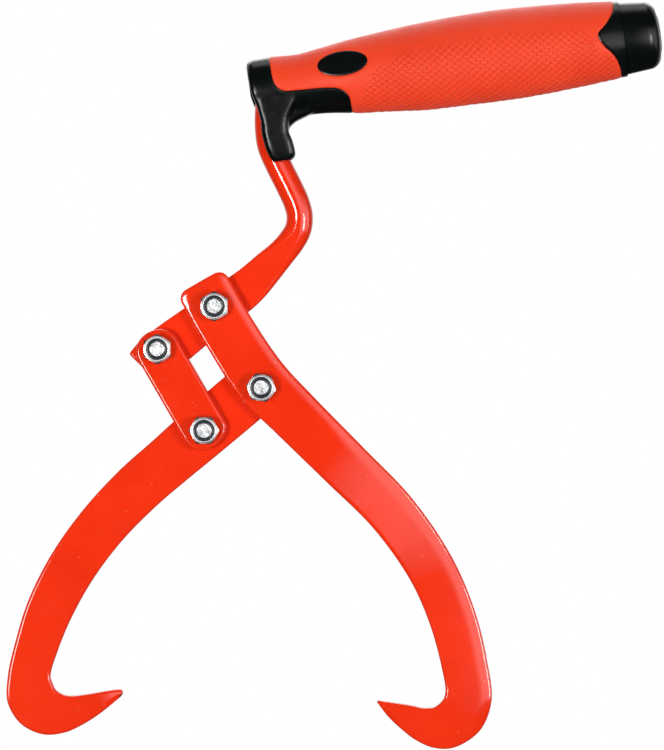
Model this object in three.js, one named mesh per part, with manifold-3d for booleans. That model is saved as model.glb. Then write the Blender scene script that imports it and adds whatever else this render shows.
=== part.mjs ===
// Log lifting tongs, in millimetres, +Z up and the front towards -Y.
// A hand grip sits on the tang of a bent round rod. The rod's lower end is forged flat and carries
// two pivots. One claw arm hangs from the first and a pair of links from the second, and together
// they carry the other claw arm, so that the four pivots make a parallelogram that opens the jaws.
// The origin is the middle of the hand grip, where the tongs are held.
import * as THREE from 'three';
import { mergeVertices } from 'three/addons/utils/BufferGeometryUtils.js';
import Module from 'manifold-3d';

const wasm = await Module();
wasm.setup();

// Fits
const gap = 0.3;                  // between pieces that touch, slide or are moulded on
const overrun = 2;                // how far a cutter runs past the face that it cuts
const cutterReach = 40;           // half the length of a cutter that goes right through

// Fasteners: M6 hexagon bolts with self-locking nuts
const boltDiameter = 6;
const hexAcrossFlats = 10;
const headHeight = 4;
const nutHeight = 6;
const nutHexHeight = 4.4;
const collarDiameter = 9.4;
const nylonWall = 0.66;
const nylonHeight = 1.6;
const boltProud = 0.5;            // how far the bolt's end stands out of the nut
const hexChamfer = 0.6;

// Plates
const armThickness = 5;
const armWidth = 20.2;
const linkThickness = 4;
const linkWidth = 16.8;
const linkEndShare = 0.87;        // how far a link's end stands out past the pivot, of half its width
const plateEdge = 1.1;            // rounding of the stamped edges
const armHeadOverhang = 11;       // from the main pivot to the arm's squared end
const armHeadCorner = 4;
const jawReach = 137;             // from the jaw pivot down to the lowest point of the claw
const beakTipThickness = 2.2;
const grindWidth = 3;             // the ground facet under each beak
const grindDepth = 1.5;
const rightThinStartShare = 0.8;  // of each arm's length, where the beak starts to thin
const leftThinStartShare = 0.84;
const setBackStartShare = 0.2;    // of the right arm's length, where it steps back into line
const setBackEndShare = 0.36;
const armNeckShare = 0.333;       // of the pivots' distance, where the right arm's straight head ends
const leftRootShare = 1.026;      // width of the left arm's root, of the arms' width
const leftRiseShare = 0.085;      // and how far its middle lies above the line of its two pivots
const leftRootLean = 4.2;         // degrees between the root's middle line and that line

// Linkage: the four pivots
const baseSpan = 27;              // main pivot to link pivot, along the rod's flat end
const baseAngle = 216.87;         // degrees, anticlockwise from +X
const linkSpan = 35.5;            // main pivot to jaw pivot, the same as the links
const linkAngle = -60;
const neckToPivotAcross = 20.25;  // from the corner where the rod turns down to the main pivot
const neckToPivotDown = 82.92;

// Rod
const rodDiameter = 10;
const flatThickness = 5;
const tangToSpigot = 6.65;        // from the end of the tang in the grip to the cap's spigot
const neckSetback = 7.06;         // from the grip's front end to the corner where the rod turns down
const neckBend = 10;              // bend radius of that corner

// Grip
const gripTilt = 7.8;             // degrees, the grip's rear end is higher
const gripLength = 157.5;
const gripRadius = 17.3;
const gripFrontShare = 0.561;     // of the length, in front of the origin
const gripDepthShare = 0.9;       // the grip is a little thinner than it is high
const coverWall = 3;
const noseRounding = 2.2;
const capRounding = 4.8;
const spigotLength = 6;
const windowLength = 19;          // the oval through which the hard core shows
const windowHeight = 9.6;
const guardReach = 27.5;          // from the grip's axis down to the end of the finger guard
const guardHalfDepth = 8.8;
const guardCorner = 3;
const windowPlaceShares = [0.23, 0.3];   // of the grip's length and of its radius
const capWidthShare = 0.795;      // of the grip's radius, at the seam
const capTaperShare = 0.94;       // rear end of the cap, of its width at the seam
const capDome = 0.8;
const capRiseShare = 0.023;       // of the grip's radius, how far the cap's middle is above the axis
const roundSides = 16;
const gripSides = 26;

const degrees = Math.PI / 180;
const at = (x, z) => new THREE.Vector3(x, 0, z);
const heading = (angle) => at(Math.cos(angle * degrees), Math.sin(angle * degrees));

const gripToNeck = gripLength * gripFrontShare - neckSetback;
const neckCorner = heading(gripTilt).multiplyScalar(-gripToNeck);
const mainPivot = neckCorner.clone().sub(at(neckToPivotAcross, neckToPivotDown));
const linkPivot = mainPivot.clone().addScaledVector(heading(baseAngle), baseSpan);
const jawPivot = mainPivot.clone().addScaledVector(heading(linkAngle), linkSpan);
const footPivot = linkPivot.clone().addScaledVector(heading(linkAngle), linkSpan);

// Layers through the depth: the rod's flat and the left arm share the middle one
const frontFace = -flatThickness / 2 - gap;
const rearFace = -frontFace;
const frontArmMiddle = frontFace - armThickness / 2;

// A mesh as a solid that can be cut and joined, and back again
function solid(geometry) {
  const bare = geometry.clone();
  bare.deleteAttribute('normal');
  bare.deleteAttribute('uv');
  const merged = mergeVertices(bare);
  const triVerts = Uint32Array.from(merged.index.array);
  const vertProperties = Float32Array.from(merged.attributes.position.array);
  return new wasm.Manifold(new wasm.Mesh({ numProp: 3, vertProperties, triVerts }));
}

function geometryOf(body) {
  const { vertProperties, triVerts } = body.getMesh();
  const geometry = new THREE.BufferGeometry();
  geometry.setAttribute('position', new THREE.BufferAttribute(Float32Array.from(vertProperties), 3));
  geometry.setIndex(new THREE.BufferAttribute(Uint32Array.from(triVerts), 1));
  geometry.computeVertexNormals();
  return geometry;
}

// One ring of a bar: a rounded rectangle from edge point to edge point, as thick as given along Y
function ring(inner, outer, thickness, rounding, depth = 0, cornerSteps = 2) {
  const middle = inner.clone().add(outer).multiplyScalar(0.5);
  const across = outer.clone().sub(inner);
  const halfWidth = across.length() / 2;
  across.normalize();
  const halfThickness = thickness / 2;
  const radius = Math.min(rounding, halfWidth, halfThickness);
  const points = [];
  for (let quarter = 0; quarter < 4; quarter += 1) {
    const acrossSign = quarter === 0 || quarter === 3 ? 1 : -1;
    const depthSign = quarter < 2 ? 1 : -1;
    for (let step = 0; step <= cornerSteps; step += 1) {
      const turn = (quarter + step / cornerSteps) * 90 * degrees;
      const along = acrossSign * (halfWidth - radius) + radius * Math.cos(turn);
      const deep = depthSign * (halfThickness - radius) + radius * Math.sin(turn);
      const point = middle.clone().addScaledVector(across, along);
      point.y += depth + deep;
      points.push(point);
    }
  }
  return points;
}

// A closed skin over a row of rings, with a flat cap on each end
function skin(rings) {
  const count = rings[0].length;
  const positions = [];
  const index = [];
  for (const points of rings) for (const point of points) positions.push(point.x, point.y, point.z);
  for (let row = 0; row + 1 < rings.length; row += 1) {
    for (let k = 0; k < count; k += 1) {
      const a = row * count + k;
      const b = row * count + (k + 1) % count;
      index.push(a, b, a + count, b, b + count, a + count);
    }
  }
  const ends = [[0, false], [rings.length - 1, true]];
  for (const [row, last] of ends) {
    const middle = new THREE.Vector3();
    for (const point of rings[row]) middle.addScaledVector(point, 1 / count);
    const hub = positions.length / 3;
    positions.push(middle.x, middle.y, middle.z);
    for (let k = 0; k < count; k += 1) {
      const a = row * count + k;
      const b = row * count + (k + 1) % count;
      if (last) index.push(a, b, hub);
      else index.push(b, a, hub);
    }
  }
  const geometry = new THREE.BufferGeometry();
  geometry.setAttribute('position', new THREE.Float32BufferAttribute(positions, 3));
  geometry.setIndex(index);
  return facingOut(geometry);
}

// Turns the triangles round where the skin was wound inside out
function facingOut(geometry) {
  const points = geometry.attributes.position;
  const index = geometry.index;
  const [a, b, c] = [new THREE.Vector3(), new THREE.Vector3(), new THREE.Vector3()];
  let volume = 0;
  for (let k = 0; k < index.count; k += 3) {
    a.fromBufferAttribute(points, index.getX(k));
    b.fromBufferAttribute(points, index.getX(k + 1));
    c.fromBufferAttribute(points, index.getX(k + 2));
    volume += a.dot(b.cross(c));
  }
  if (volume < 0) {
    for (let k = 0; k < index.count; k += 3) {
      const first = index.getX(k);
      index.setX(k, index.getX(k + 1));
      index.setX(k + 1, first);
    }
  }
  geometry.computeVertexNormals();
  return geometry;
}

const curveThrough = (points) => new THREE.CatmullRomCurve3(points, false, 'centripetal');
const smooth = (value, low, high) => THREE.MathUtils.smoothstep(value, low, high);

// A shape drawn in X and Z, raised along Y from one depth to another
function upright(shape, near, far, edge = 0) {
  const geometry = new THREE.ExtrudeGeometry(shape, {
    depth: far - near - 2 * edge,
    bevelEnabled: edge > 0,
    bevelThickness: edge,
    bevelSize: edge,
    bevelOffset: -edge,
    bevelSegments: 2,
    curveSegments: 8,
  });
  geometry.rotateX(Math.PI / 2);
  geometry.translate(0, far - edge, 0);
  return geometry;
}

// A round bar along Y
function roundAlongDepth(centre, radius, near, far) {
  const geometry = new THREE.CylinderGeometry(radius, radius, far - near, roundSides);
  geometry.translate(centre.x, (near + far) / 2, centre.z);
  return geometry;
}

const boltHole = (centre) => solid(
  roundAlongDepth(centre, boltDiameter / 2 + gap, -cutterReach, cutterReach),
);

// A flat arm between two hand-drawn edges. Rows hold inner and outer points.
function arm(rows, steps, depthAt, thicknessAt) {
  const innerEdge = curveThrough(rows.map(([inner]) => inner));
  const outerEdge = curveThrough(rows.map(([, outer]) => outer));
  const rings = [];
  for (let step = 0; step <= steps; step += 1) {
    const share = step / steps;
    rings.push(ring(
      innerEdge.getPoint(share), outerEdge.getPoint(share),
      thicknessAt(share), plateEdge, depthAt(share),
    ));
  }
  return solid(skin(rings));
}

// Claw edges from a pivot, in shares of the jaw's reach: inner x, inner z, outer x, outer z
const rightClawShares = [
  [-0.061, -0.025, 0.058, 0.069],
  [0.040, -0.125, 0.142, -0.022],
  [0.179, -0.260, 0.280, -0.163],
  [0.311, -0.391, 0.417, -0.306],
  [0.413, -0.535, 0.529, -0.471],
  [0.468, -0.660, 0.592, -0.619],
  [0.501, -0.782, 0.626, -0.758],
  [0.510, -0.842, 0.638, -0.869],
  [0.503, -0.866, 0.606, -0.951],
  [0.481, -0.885, 0.535, -0.998],
  [0.467, -0.888, 0.478, -0.999],
  [0.447, -0.888, 0.427, -0.977],
  [0.420, -0.882, 0.389, -0.948],
  [0.370, -0.874, 0.350, -0.911],
  [0.330, -0.868, 0.322, -0.876],
];
const leftClawShares = [
  [-0.049, -0.138, -0.143, -0.028],
  [-0.132, -0.209, -0.236, -0.111],
  [-0.228, -0.306, -0.334, -0.217],
  [-0.307, -0.410, -0.421, -0.338],
  [-0.369, -0.520, -0.487, -0.467],
  [-0.409, -0.617, -0.524, -0.584],
  [-0.427, -0.681, -0.545, -0.678],
  [-0.420, -0.705, -0.546, -0.754],
  [-0.413, -0.719, -0.509, -0.814],
  [-0.396, -0.731, -0.448, -0.843],
  [-0.378, -0.736, -0.387, -0.838],
  [-0.358, -0.736, -0.334, -0.814],
  [-0.315, -0.730, -0.292, -0.787],
  [-0.268, -0.722, -0.254, -0.757],
  [-0.241, -0.719, -0.228, -0.733],
];

const clawRows = (shares, pivot) => shares.map(([innerX, innerZ, outerX, outerZ]) => [
  pivot.clone().add(at(innerX, innerZ).multiplyScalar(jawReach)),
  pivot.clone().add(at(outerX, outerZ).multiplyScalar(jawReach)),
]);

// A wedge that grinds the lower edge of a beak, on the front or the rear face
function grindWedge(rows, middleDepth, side) {
  const start = rows[rows.length - 1][1];
  const end = rows[rows.length - 3][1];
  const along = end.clone().sub(start).normalize();
  const upwards = new THREE.Vector3(-along.z, 0, along.x);
  if (upwards.z < 0) upwards.negate();
  const face = middleDepth + side * armThickness / 2;
  const out = side * overrun;
  const corners = [
    upwards.clone().multiplyScalar(-overrun).setY(face - side * grindDepth * (1 + overrun / grindWidth)),
    upwards.clone().multiplyScalar(grindWidth * (1 + overrun / grindDepth)).setY(face + out),
    upwards.clone().multiplyScalar(-overrun).setY(face + out),
  ];
  const length = start.distanceTo(end) + overrun;
  const rings = [-overrun, length].map((reach) => corners.map(
    (corner) => start.clone().setY(0).addScaledVector(along, reach).add(corner),
  ));
  return solid(skin(rings));
}

// How much of its thickness the beak keeps towards the tip
const beakThickness = (share, start) => THREE.MathUtils.lerp(
  armThickness, beakTipThickness, smooth(share, start, 1),
);

// The right arm: squared head on the main pivot, elbow at the jaw pivot, claw set back into line
function rightArm() {
  const down = heading(linkAngle);
  const side = new THREE.Vector3(-down.z, 0, down.x);
  const half = armWidth / 2;
  const head = mainPivot.clone().addScaledVector(down, -armHeadOverhang);
  const upper = mainPivot.clone().addScaledVector(down, linkSpan * armNeckShare);
  const edges = (middle) => [
    middle.clone().addScaledVector(side, -half),
    middle.clone().addScaledVector(side, half),
  ];
  const rows = [
    edges(head),
    edges(upper),
    ...clawRows(rightClawShares, jawPivot),
  ];
  const depthAt = (share) => frontArmMiddle * (1 - smooth(share, setBackStartShare, setBackEndShare));
  const blank = arm(rows, 60, depthAt, (share) => beakThickness(share, rightThinStartShare));
  const trim = headCorners(head, down, side, half);
  return trim
    .reduce((body, cut) => body.subtract(cut), blank)
    .subtract(boltHole(mainPivot))
    .subtract(boltHole(jawPivot))
    .subtract(grindWedge(rows, 0, -1))
    .subtract(grindWedge(rows, 0, 1));
}

// The two rounded corners of a squared bar end, as cutters
function headCorners(head, down, side, half) {
  return [-1, 1].map((hand) => {
    const centre = head.clone()
      .addScaledVector(down, armHeadCorner)
      .addScaledVector(side, hand * (half - armHeadCorner));
    const outline = new THREE.Shape();
    const place = (x, z) => {
      const point = centre.clone().addScaledVector(side, hand * x).addScaledVector(down, -z);
      return [point.x, point.z];
    };
    const far = armHeadCorner + overrun;
    outline.moveTo(...place(far, 0));
    outline.lineTo(...place(far, far));
    outline.lineTo(...place(0, far));
    for (let step = 0; step <= 8; step += 1) {
      const turn = (90 - step * 90 / 8) * degrees;
      outline.lineTo(...place(armHeadCorner * Math.cos(turn), armHeadCorner * Math.sin(turn)));
    }
    return solid(upright(outline, -cutterReach, cutterReach));
  });
}

// The left arm: round end on the jaw pivot, foot pivot next to it, then its claw
function leftArm() {
  const towards = jawPivot.clone().sub(footPivot).normalize();
  const along = towards.clone().applyAxisAngle(new THREE.Vector3(0, 1, 0), -leftRootLean * degrees);
  const side = new THREE.Vector3(-along.z, 0, along.x);
  const half = armWidth * leftRootShare / 2;
  const middle = jawPivot.clone().addScaledVector(side, armWidth * leftRiseShare);
  const endRows = [];
  for (let step = 0; step <= 5; step += 1) {
    const turn = (4 + step * 86 / 5) * degrees;
    const reach = middle.clone().addScaledVector(along, half * Math.cos(turn));
    endRows.push([
      reach.clone().addScaledVector(side, -half * Math.sin(turn)),
      reach.clone().addScaledVector(side, half * Math.sin(turn)),
    ]);
  }
  const rows = [
    ...endRows,
    [-half, half].map((offset) => footPivot.clone().addScaledVector(side, offset)),
    ...clawRows(leftClawShares, footPivot),
  ];
  return arm(rows, 66, () => 0, (share) => beakThickness(share, leftThinStartShare))
    .subtract(boltHole(jawPivot))
    .subtract(boltHole(footPivot))
    .subtract(grindWedge(rows, 0, -1))
    .subtract(grindWedge(rows, 0, 1));
}

// A link: a strip with a hole on each pivot and ends a little flatter than a half circle
function link(near, far) {
  const half = linkWidth / 2;
  const outline = new THREE.Shape();
  const middle = linkPivot.clone().add(footPivot).multiplyScalar(0.5);
  const turned = (linkAngle + 90) * degrees;
  outline.absellipse(0, linkSpan / 2, half, half * linkEndShare, 0, Math.PI, false, 0);
  outline.absellipse(0, -linkSpan / 2, half, half * linkEndShare, Math.PI, 2 * Math.PI, false, 0);
  const geometry = upright(outline, near, far, plateEdge);
  geometry.rotateY(-turned);
  geometry.translate(middle.x, 0, middle.z);
  return solid(geometry).subtract(boltHole(linkPivot)).subtract(boltHole(footPivot));
}

// The rod below the neck: middle line across and down in shares of the drop to the main pivot,
// width in shares of the rod's diameter, and how far it is forged flat
const rodDropShares = [
  [0.0, -0.186, 1, 0], [0.011, -0.264, 1, 0], [0.050, -0.355, 1, 0], [0.096, -0.447, 1, 0],
  [0.131, -0.525, 1, 0], [0.145, -0.585, 1, 0], [0.138, -0.644, 1.02, 0.08],
  [0.109, -0.697, 1.04, 0.29], [0.064, -0.752, 1.08, 0.55], [0.010, -0.808, 1.22, 0.8],
];
// Its flat end the same way, from the main pivot in shares of the pivots' spacing
const rodFlatShares = [
  [0.509, 0.313, 1.44, 0.97], [0.336, 0.170, 1.51, 1], [0.018, -0.055, 1.54, 1],
  [-0.280, -0.284, 1.63, 1], [-0.518, -0.467, 1.71, 1], [-0.818, -0.701, 1.75, 1],
  [-0.993, -0.878, 1.62, 1],
];
const tangSteps = 4;
const bendSteps = 5;

// The rod's middle line in rows of point, width share and flatness, and where the neck bend starts
function rodRows() {
  const axis = heading(gripTilt);
  const bendTurn = (90 - gripTilt) * degrees;
  const bendStart = neckBend * Math.tan(bendTurn / 2) - gripToNeck;
  const tangEnd = seam - spigotLength - tangToSpigot;
  const rows = [];
  for (let step = 0; step < tangSteps; step += 1) {
    const reach = THREE.MathUtils.lerp(tangEnd, bendStart, step / tangSteps);
    rows.push([axis.clone().multiplyScalar(reach), 1, 0]);
  }
  const bendCentre = axis.clone().multiplyScalar(bendStart)
    .addScaledVector(new THREE.Vector3(axis.z, 0, -axis.x), neckBend);
  for (let step = 0; step <= bendSteps; step += 1) {
    const turn = (90 + gripTilt) * degrees + bendTurn * step / bendSteps;
    const out = at(Math.cos(turn), Math.sin(turn)).multiplyScalar(neckBend);
    rows.push([bendCentre.clone().add(out), 1, 0]);
  }
  for (const [x, z, width, flat] of rodDropShares) {
    rows.push([neckCorner.clone().add(at(x, z).multiplyScalar(neckToPivotDown)), width, flat]);
  }
  for (const [x, z, width, flat] of rodFlatShares) {
    rows.push([mainPivot.clone().add(at(x, z).multiplyScalar(baseSpan)), width, flat]);
  }
  return { rows, bendStart };
}

// Samples the rod's line: place, direction across it, width and how far it is forged flat
function rodStations(stepsPerRow) {
  const { rows } = rodRows();
  const line = curveThrough(rows.map(([point]) => point));
  const last = rows.length - 1;
  const stations = [];
  for (let step = 0; step <= last * stepsPerRow; step += 1) {
    const row = Math.min(Math.floor(step / stepsPerRow), last - 1);
    const between = step / stepsPerRow - row;
    const share = step / (last * stepsPerRow);
    const along = line.getTangent(share);
    stations.push({
      place: line.getPoint(share),
      across: new THREE.Vector3(-along.z, 0, along.x),
      width: rodDiameter * THREE.MathUtils.lerp(rows[row][1], rows[row + 1][1], between),
      flat: THREE.MathUtils.lerp(rows[row][2], rows[row + 1][2], between),
    });
  }
  return stations;
}

function handleRod() {
  const rings = rodStations(2).map(({ place, across, width, flat }) => ring(
    place.clone().addScaledVector(across, -width / 2),
    place.clone().addScaledVector(across, width / 2),
    THREE.MathUtils.lerp(rodDiameter, flatThickness, flat),
    THREE.MathUtils.lerp(rodDiameter / 2, plateEdge, flat),
    0, 4,
  ));
  return solid(skin(rings)).subtract(boltHole(mainPivot)).subtract(boltHole(linkPivot));
}

// The grip's outer skin, from shares of length, height above and height below the axis
const gripShares = [
  [0, 0.66, 0.66], [0.06, 0.678, 0.68], [0.12, 0.655, 0.695], [0.18, 0.722, 0.72],
  [0.25, 0.818, 0.80], [0.33, 0.895, 0.862], [0.42, 0.965, 0.94], [0.52, 1.012, 0.957],
  [0.62, 1.028, 0.968], [0.70, 1.0, 0.948], [0.78, 0.960, 0.905], [0.86, 0.90, 0.848],
  [0.908, 0.855, 0.812],
];
const gripFront = -gripLength * gripFrontShare;
const [seamShare] = gripShares[gripShares.length - 1];
const seam = gripFront + gripLength * seamShare;

// An oval section of the grip, drawn in by a wall
function gripRing(share, wall, place) {
  const above = gripAbove.getPoint(share).z - wall;
  const below = gripBelow.getPoint(share).z - wall;
  const middle = (above - below) / 2;
  const halfHeight = (above + below) / 2;
  const points = [];
  for (let k = 0; k < gripSides; k += 1) {
    const turn = k * 360 / gripSides * degrees;
    const deep = (halfHeight + wall) * gripDepthShare - wall;
    points.push(new THREE.Vector3(place, deep * Math.sin(turn), middle + halfHeight * Math.cos(turn)));
  }
  return points;
}

const gripAbove = curveThrough(gripShares.map(
  ([along, above]) => at(along * gripLength, above * gripRadius),
));
const gripBelow = curveThrough(gripShares.map(
  ([along, , below]) => at(along * gripLength, below * gripRadius),
));

// The grip's barrel from its rounded nose to the seam of the cap, drawn in by a wall
function gripBarrel(wall) {
  const rings = [];
  for (let step = 0; step < 4; step += 1) {
    const turn = step * 90 / 4 * degrees;
    const drawn = noseRounding * (1 - Math.sin(turn));
    const place = gripFront + noseRounding * (1 - Math.cos(turn));
    rings.push(gripRing(0, wall + drawn, place));
  }
  const count = 19;
  for (let step = 1; step <= count; step += 1) {
    const share = step / count;
    const place = gripFront + gripAbove.getPoint(share).x;
    rings.push(gripRing(share, wall, place));
  }
  return solid(skin(rings));
}

const gripPlace = (alongShare, upShare) => new THREE.Vector2(
  gripFront + gripLength * alongShare, gripRadius * upShare,
);

// The side view of the soft cover, drawn larger by a clearance. Its front edge steps back over the
// finger guard, and its rear edge swings forward to a point at half height.
function coverRegion(clearance) {
  const frontShares = [
    [0.056, 1.25], [0.057, 0.55], [0.060, 0.131], [0.066, -0.016], [0.081, -0.128],
    [0.120, -0.161], [0.179, -0.189], [0.204, -0.226], [0.222, -0.30], [0.235, -0.456],
    [0.238, -0.70], [0.239, -1.25],
  ];
  const rearShares = [
    [0.895, -1.25], [0.893, -0.805], [0.887, -0.528], [0.877, -0.339], [0.859, -0.139],
    [0.848, 0.041], [0.847, 0.171], [0.862, 0.306], [0.876, 0.441], [0.891, 0.651],
    [0.896, 0.862], [0.896, 1.25],
  ];
  const frontLine = edgeCurve(frontShares, 24);
  const rearLine = edgeCurve(rearShares, 22);
  const moved = [
    ...offsetLine(frontLine, -clearance),
    ...offsetLine(rearLine, -clearance),
  ];
  const shape = new THREE.Shape(moved);
  return solid(upright(shape, -cutterReach, cutterReach));
}

function edgeCurve(shares, count) {
  const line = curveThrough(shares.map(([along, up]) => {
    const place = gripPlace(along, up);
    return at(place.x, place.y);
  }));
  return line.getPoints(count).map((point) => new THREE.Vector2(point.x, point.z));
}

// Moves a line of points sideways
function offsetLine(line, distance) {
  return line.map((point, k) => {
    const before = line[Math.max(k - 1, 0)];
    const after = line[Math.min(k + 1, line.length - 1)];
    const along = after.clone().sub(before).normalize();
    return point.clone().add(new THREE.Vector2(-along.y, along.x).multiplyScalar(distance));
  });
}

// The oval window, or the boss that fills it
function windowOval(clearance) {
  const centre = gripPlace(...windowPlaceShares);
  const outline = new THREE.Shape();
  outline.absellipse(
    centre.x, centre.y, windowLength / 2 + clearance, windowHeight / 2 + clearance,
    0, 2 * Math.PI, false, 0,
  );
  return solid(upright(outline, -cutterReach, cutterReach));
}

// The finger guard below the grip's front end: how far down, front edge, rear edge and half depth
const guardShares = [
  [0.16, 0.05, 0.92, 1.05], [0.30, 0.07, 0.94, 1.08], [0.39, 0.090, 0.87, 1.08],
  [0.45, 0.090, 0.735, 1.05], [0.51, 0.095, 0.580, 1.03], [0.59, 0.100, 0.490, 1.01],
  [0.64, 0.107, 0.469, 1.0], [0.74, 0.125, 0.486, 0.99], [0.79, 0.134, 0.490, 0.98],
  [0.91, 0.164, 0.500, 0.87], [0.97, 0.196, 0.476, 0.80], [1.00, 0.240, 0.415, 0.73],
];

// Side view of what is cut off the front, so that it leans back from the middle down to the guard
const leanShares = [[0, 0.25], [0.0035, -0.05], [0.0125, -0.4], [0.0165, -0.66], [0.0165, -0.8]];

function noseLean() {
  const outline = new THREE.Shape(leanShares.map(([along, up]) => gripPlace(along, up)));
  outline.lineTo(gripFront - overrun, gripPlace(...leanShares[leanShares.length - 1]).y);
  outline.lineTo(gripFront - overrun, gripPlace(...leanShares[0]).y);
  return solid(upright(outline, -cutterReach, cutterReach));
}

function fingerGuard() {
  const rings = guardShares.map(([down, front, rear, depth]) => {
    const height = -down * guardReach;
    return ring(
      at(gripFront + front * guardReach, height),
      at(gripFront + rear * guardReach, height),
      2 * guardHalfDepth * depth, guardCorner, 0, 4,
    );
  });
  return solid(skin(rings));
}

// The slot in the guard that the rod drops through, open to the front end, in the grip's own frame
function neckSlot() {
  const { bendStart } = rodRows();
  const reach = rodDiameter / 2 + gap;
  const toGrip = new THREE.Vector3(0, 1, 0);
  const lowest = -guardReach - overrun;
  const farLeft = gripFront - overrun;
  const side = [];
  for (const { place, across } of rodStations(3)) {
    const point = place.clone().addScaledVector(across, reach).applyAxisAngle(toGrip, gripTilt * degrees);
    if (point.x < bendStart + overrun && point.z > lowest && point.z < 0) side.push(point);
  }
  const outline = new THREE.Shape();
  outline.moveTo(farLeft, reach);
  outline.lineTo(bendStart, reach);
  for (const point of side) outline.lineTo(point.x, point.z);
  outline.lineTo(side[side.length - 1].x, lowest);
  outline.lineTo(farLeft, lowest);
  return solid(upright(outline, -reach, reach));
}

function tangBore() {
  const { bendStart } = rodRows();
  const length = seam + overrun - bendStart;
  const radius = rodDiameter / 2 + gap;
  const geometry = new THREE.CylinderGeometry(radius, radius, length, roundSides);
  geometry.rotateZ(Math.PI / 2);
  geometry.translate(bendStart + length / 2, 0, 0);
  return solid(geometry);
}

// The hard core: front end, finger guard, rear sleeve and the bosses that show in the cover
function gripCore() {
  const outer = gripBarrel(0);
  const cut = gripBarrel(coverWall + gap);
  const room = gripBarrel(-overrun)
    .subtract(cut)
    .intersect(coverRegion(gap))
    .subtract(windowOval(-gap));
  return outer.subtract(room).add(fingerGuard()).subtract(noseLean())
    .subtract(neckSlot()).subtract(tangBore());
}

// The soft cover moulded over the core
function gripCover() {
  return gripBarrel(0)
    .subtract(gripBarrel(coverWall))
    .intersect(coverRegion(0))
    .subtract(windowOval(0));
}

// The cap that closes the rear end, with a spigot in the core's bore
function endCap() {
  const end = gripLength * (1 - seamShare);
  const radius = gripRadius * capWidthShare;
  const rearRadius = radius * capTaperShare;
  const profile = [new THREE.Vector2(0, gap), new THREE.Vector2(radius, gap)];
  for (let step = 0; step <= 6; step += 1) {
    const turn = step * 90 / 6 * degrees;
    profile.push(new THREE.Vector2(
      rearRadius - capRounding * (1 - Math.cos(turn)),
      end - capDome - capRounding * (1 - Math.sin(turn)),
    ));
  }
  profile.push(new THREE.Vector2(rearRadius / 2, end - capDome / 4), new THREE.Vector2(0, end));
  const dome = new THREE.LatheGeometry(profile, gripSides);
  dome.rotateZ(-Math.PI / 2);
  dome.scale(1, gripDepthShare, 1);
  dome.translate(seam, 0, gripRadius * capRiseShare);
  const length = spigotLength + end / 2;
  const spigot = new THREE.CylinderGeometry(rodDiameter / 2, rodDiameter / 2, length, roundSides);
  spigot.rotateZ(-Math.PI / 2);
  spigot.translate(seam - spigotLength + length / 2, 0, 0);
  return solid(dome).add(solid(spigot));
}

// A hexagon prism along Y with chamfered corners on one or both ends
function hexagon(centre, near, far, turned, chamferNear, chamferFar) {
  const corner = hexAcrossFlats / Math.sqrt(3);
  const prism = new THREE.CylinderGeometry(corner, corner, far - near, 6);
  prism.rotateY(turned * degrees);
  prism.translate(centre.x, (near + far) / 2, centre.z);
  const rim = hexAcrossFlats / 2;
  const profile = [new THREE.Vector2(0, near)];
  if (chamferNear) profile.push(new THREE.Vector2(rim, near));
  profile.push(new THREE.Vector2(corner + gap, near + (chamferNear ? hexChamfer : 0)));
  profile.push(new THREE.Vector2(corner + gap, far - (chamferFar ? hexChamfer : 0)));
  if (chamferFar) profile.push(new THREE.Vector2(rim, far));
  profile.push(new THREE.Vector2(0, far));
  const round = new THREE.LatheGeometry(profile, roundSides);
  round.translate(centre.x, 0, centre.z);
  return solid(prism).intersect(solid(round));
}

// A bolt with its head behind the rear plate and its end standing out of the nut
function bolt(centre, headSeat, nutSeat, turned) {
  const end = nutSeat - nutHeight - boltProud;
  const shank = new THREE.LatheGeometry([
    new THREE.Vector2(0, end),
    new THREE.Vector2(boltDiameter / 2 - boltProud, end),
    new THREE.Vector2(boltDiameter / 2, end + boltProud),
    new THREE.Vector2(boltDiameter / 2, headSeat + headHeight / 2),
    new THREE.Vector2(0, headSeat + headHeight / 2),
  ], roundSides);
  shank.translate(centre.x, 0, centre.z);
  return hexagon(centre, headSeat, headSeat + headHeight, turned, false, true).add(solid(shank));
}

// A self-locking nut: chamfered hexagon, round collar, and a recess for the nylon ring
function nut(centre, seat, turned) {
  const front = seat - nutHeight;
  const collar = new THREE.LatheGeometry([
    new THREE.Vector2(0, front),
    new THREE.Vector2(collarDiameter / 2 - nylonWall / 2, front),
    new THREE.Vector2(collarDiameter / 2, front + nylonWall / 2),
    new THREE.Vector2(collarDiameter / 2, seat - nutHexHeight / 2),
    new THREE.Vector2(0, seat - nutHexHeight / 2),
  ], roundSides);
  collar.translate(centre.x, 0, centre.z);
  const recess = boltDiameter / 2 + nylonWall + 2 * gap;
  return hexagon(centre, seat - nutHexHeight, seat, turned, true, true)
    .add(solid(collar))
    .subtract(boltHole(centre))
    .subtract(solid(roundAlongDepth(centre, recess, front - overrun, front + nylonHeight + gap)));
}

// The nylon ring that locks the nut
function nylonRing(centre, seat) {
  const front = seat - nutHeight;
  const inner = boltDiameter / 2 + gap;
  const outer = inner + nylonWall;
  const geometry = new THREE.LatheGeometry([
    new THREE.Vector2(inner, front),
    new THREE.Vector2(outer, front),
    new THREE.Vector2(outer, front + nylonHeight),
    new THREE.Vector2(inner, front + nylonHeight),
    new THREE.Vector2(inner, front),
  ], roundSides);
  geometry.translate(centre.x, 0, centre.z);
  return solid(geometry);
}

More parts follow.
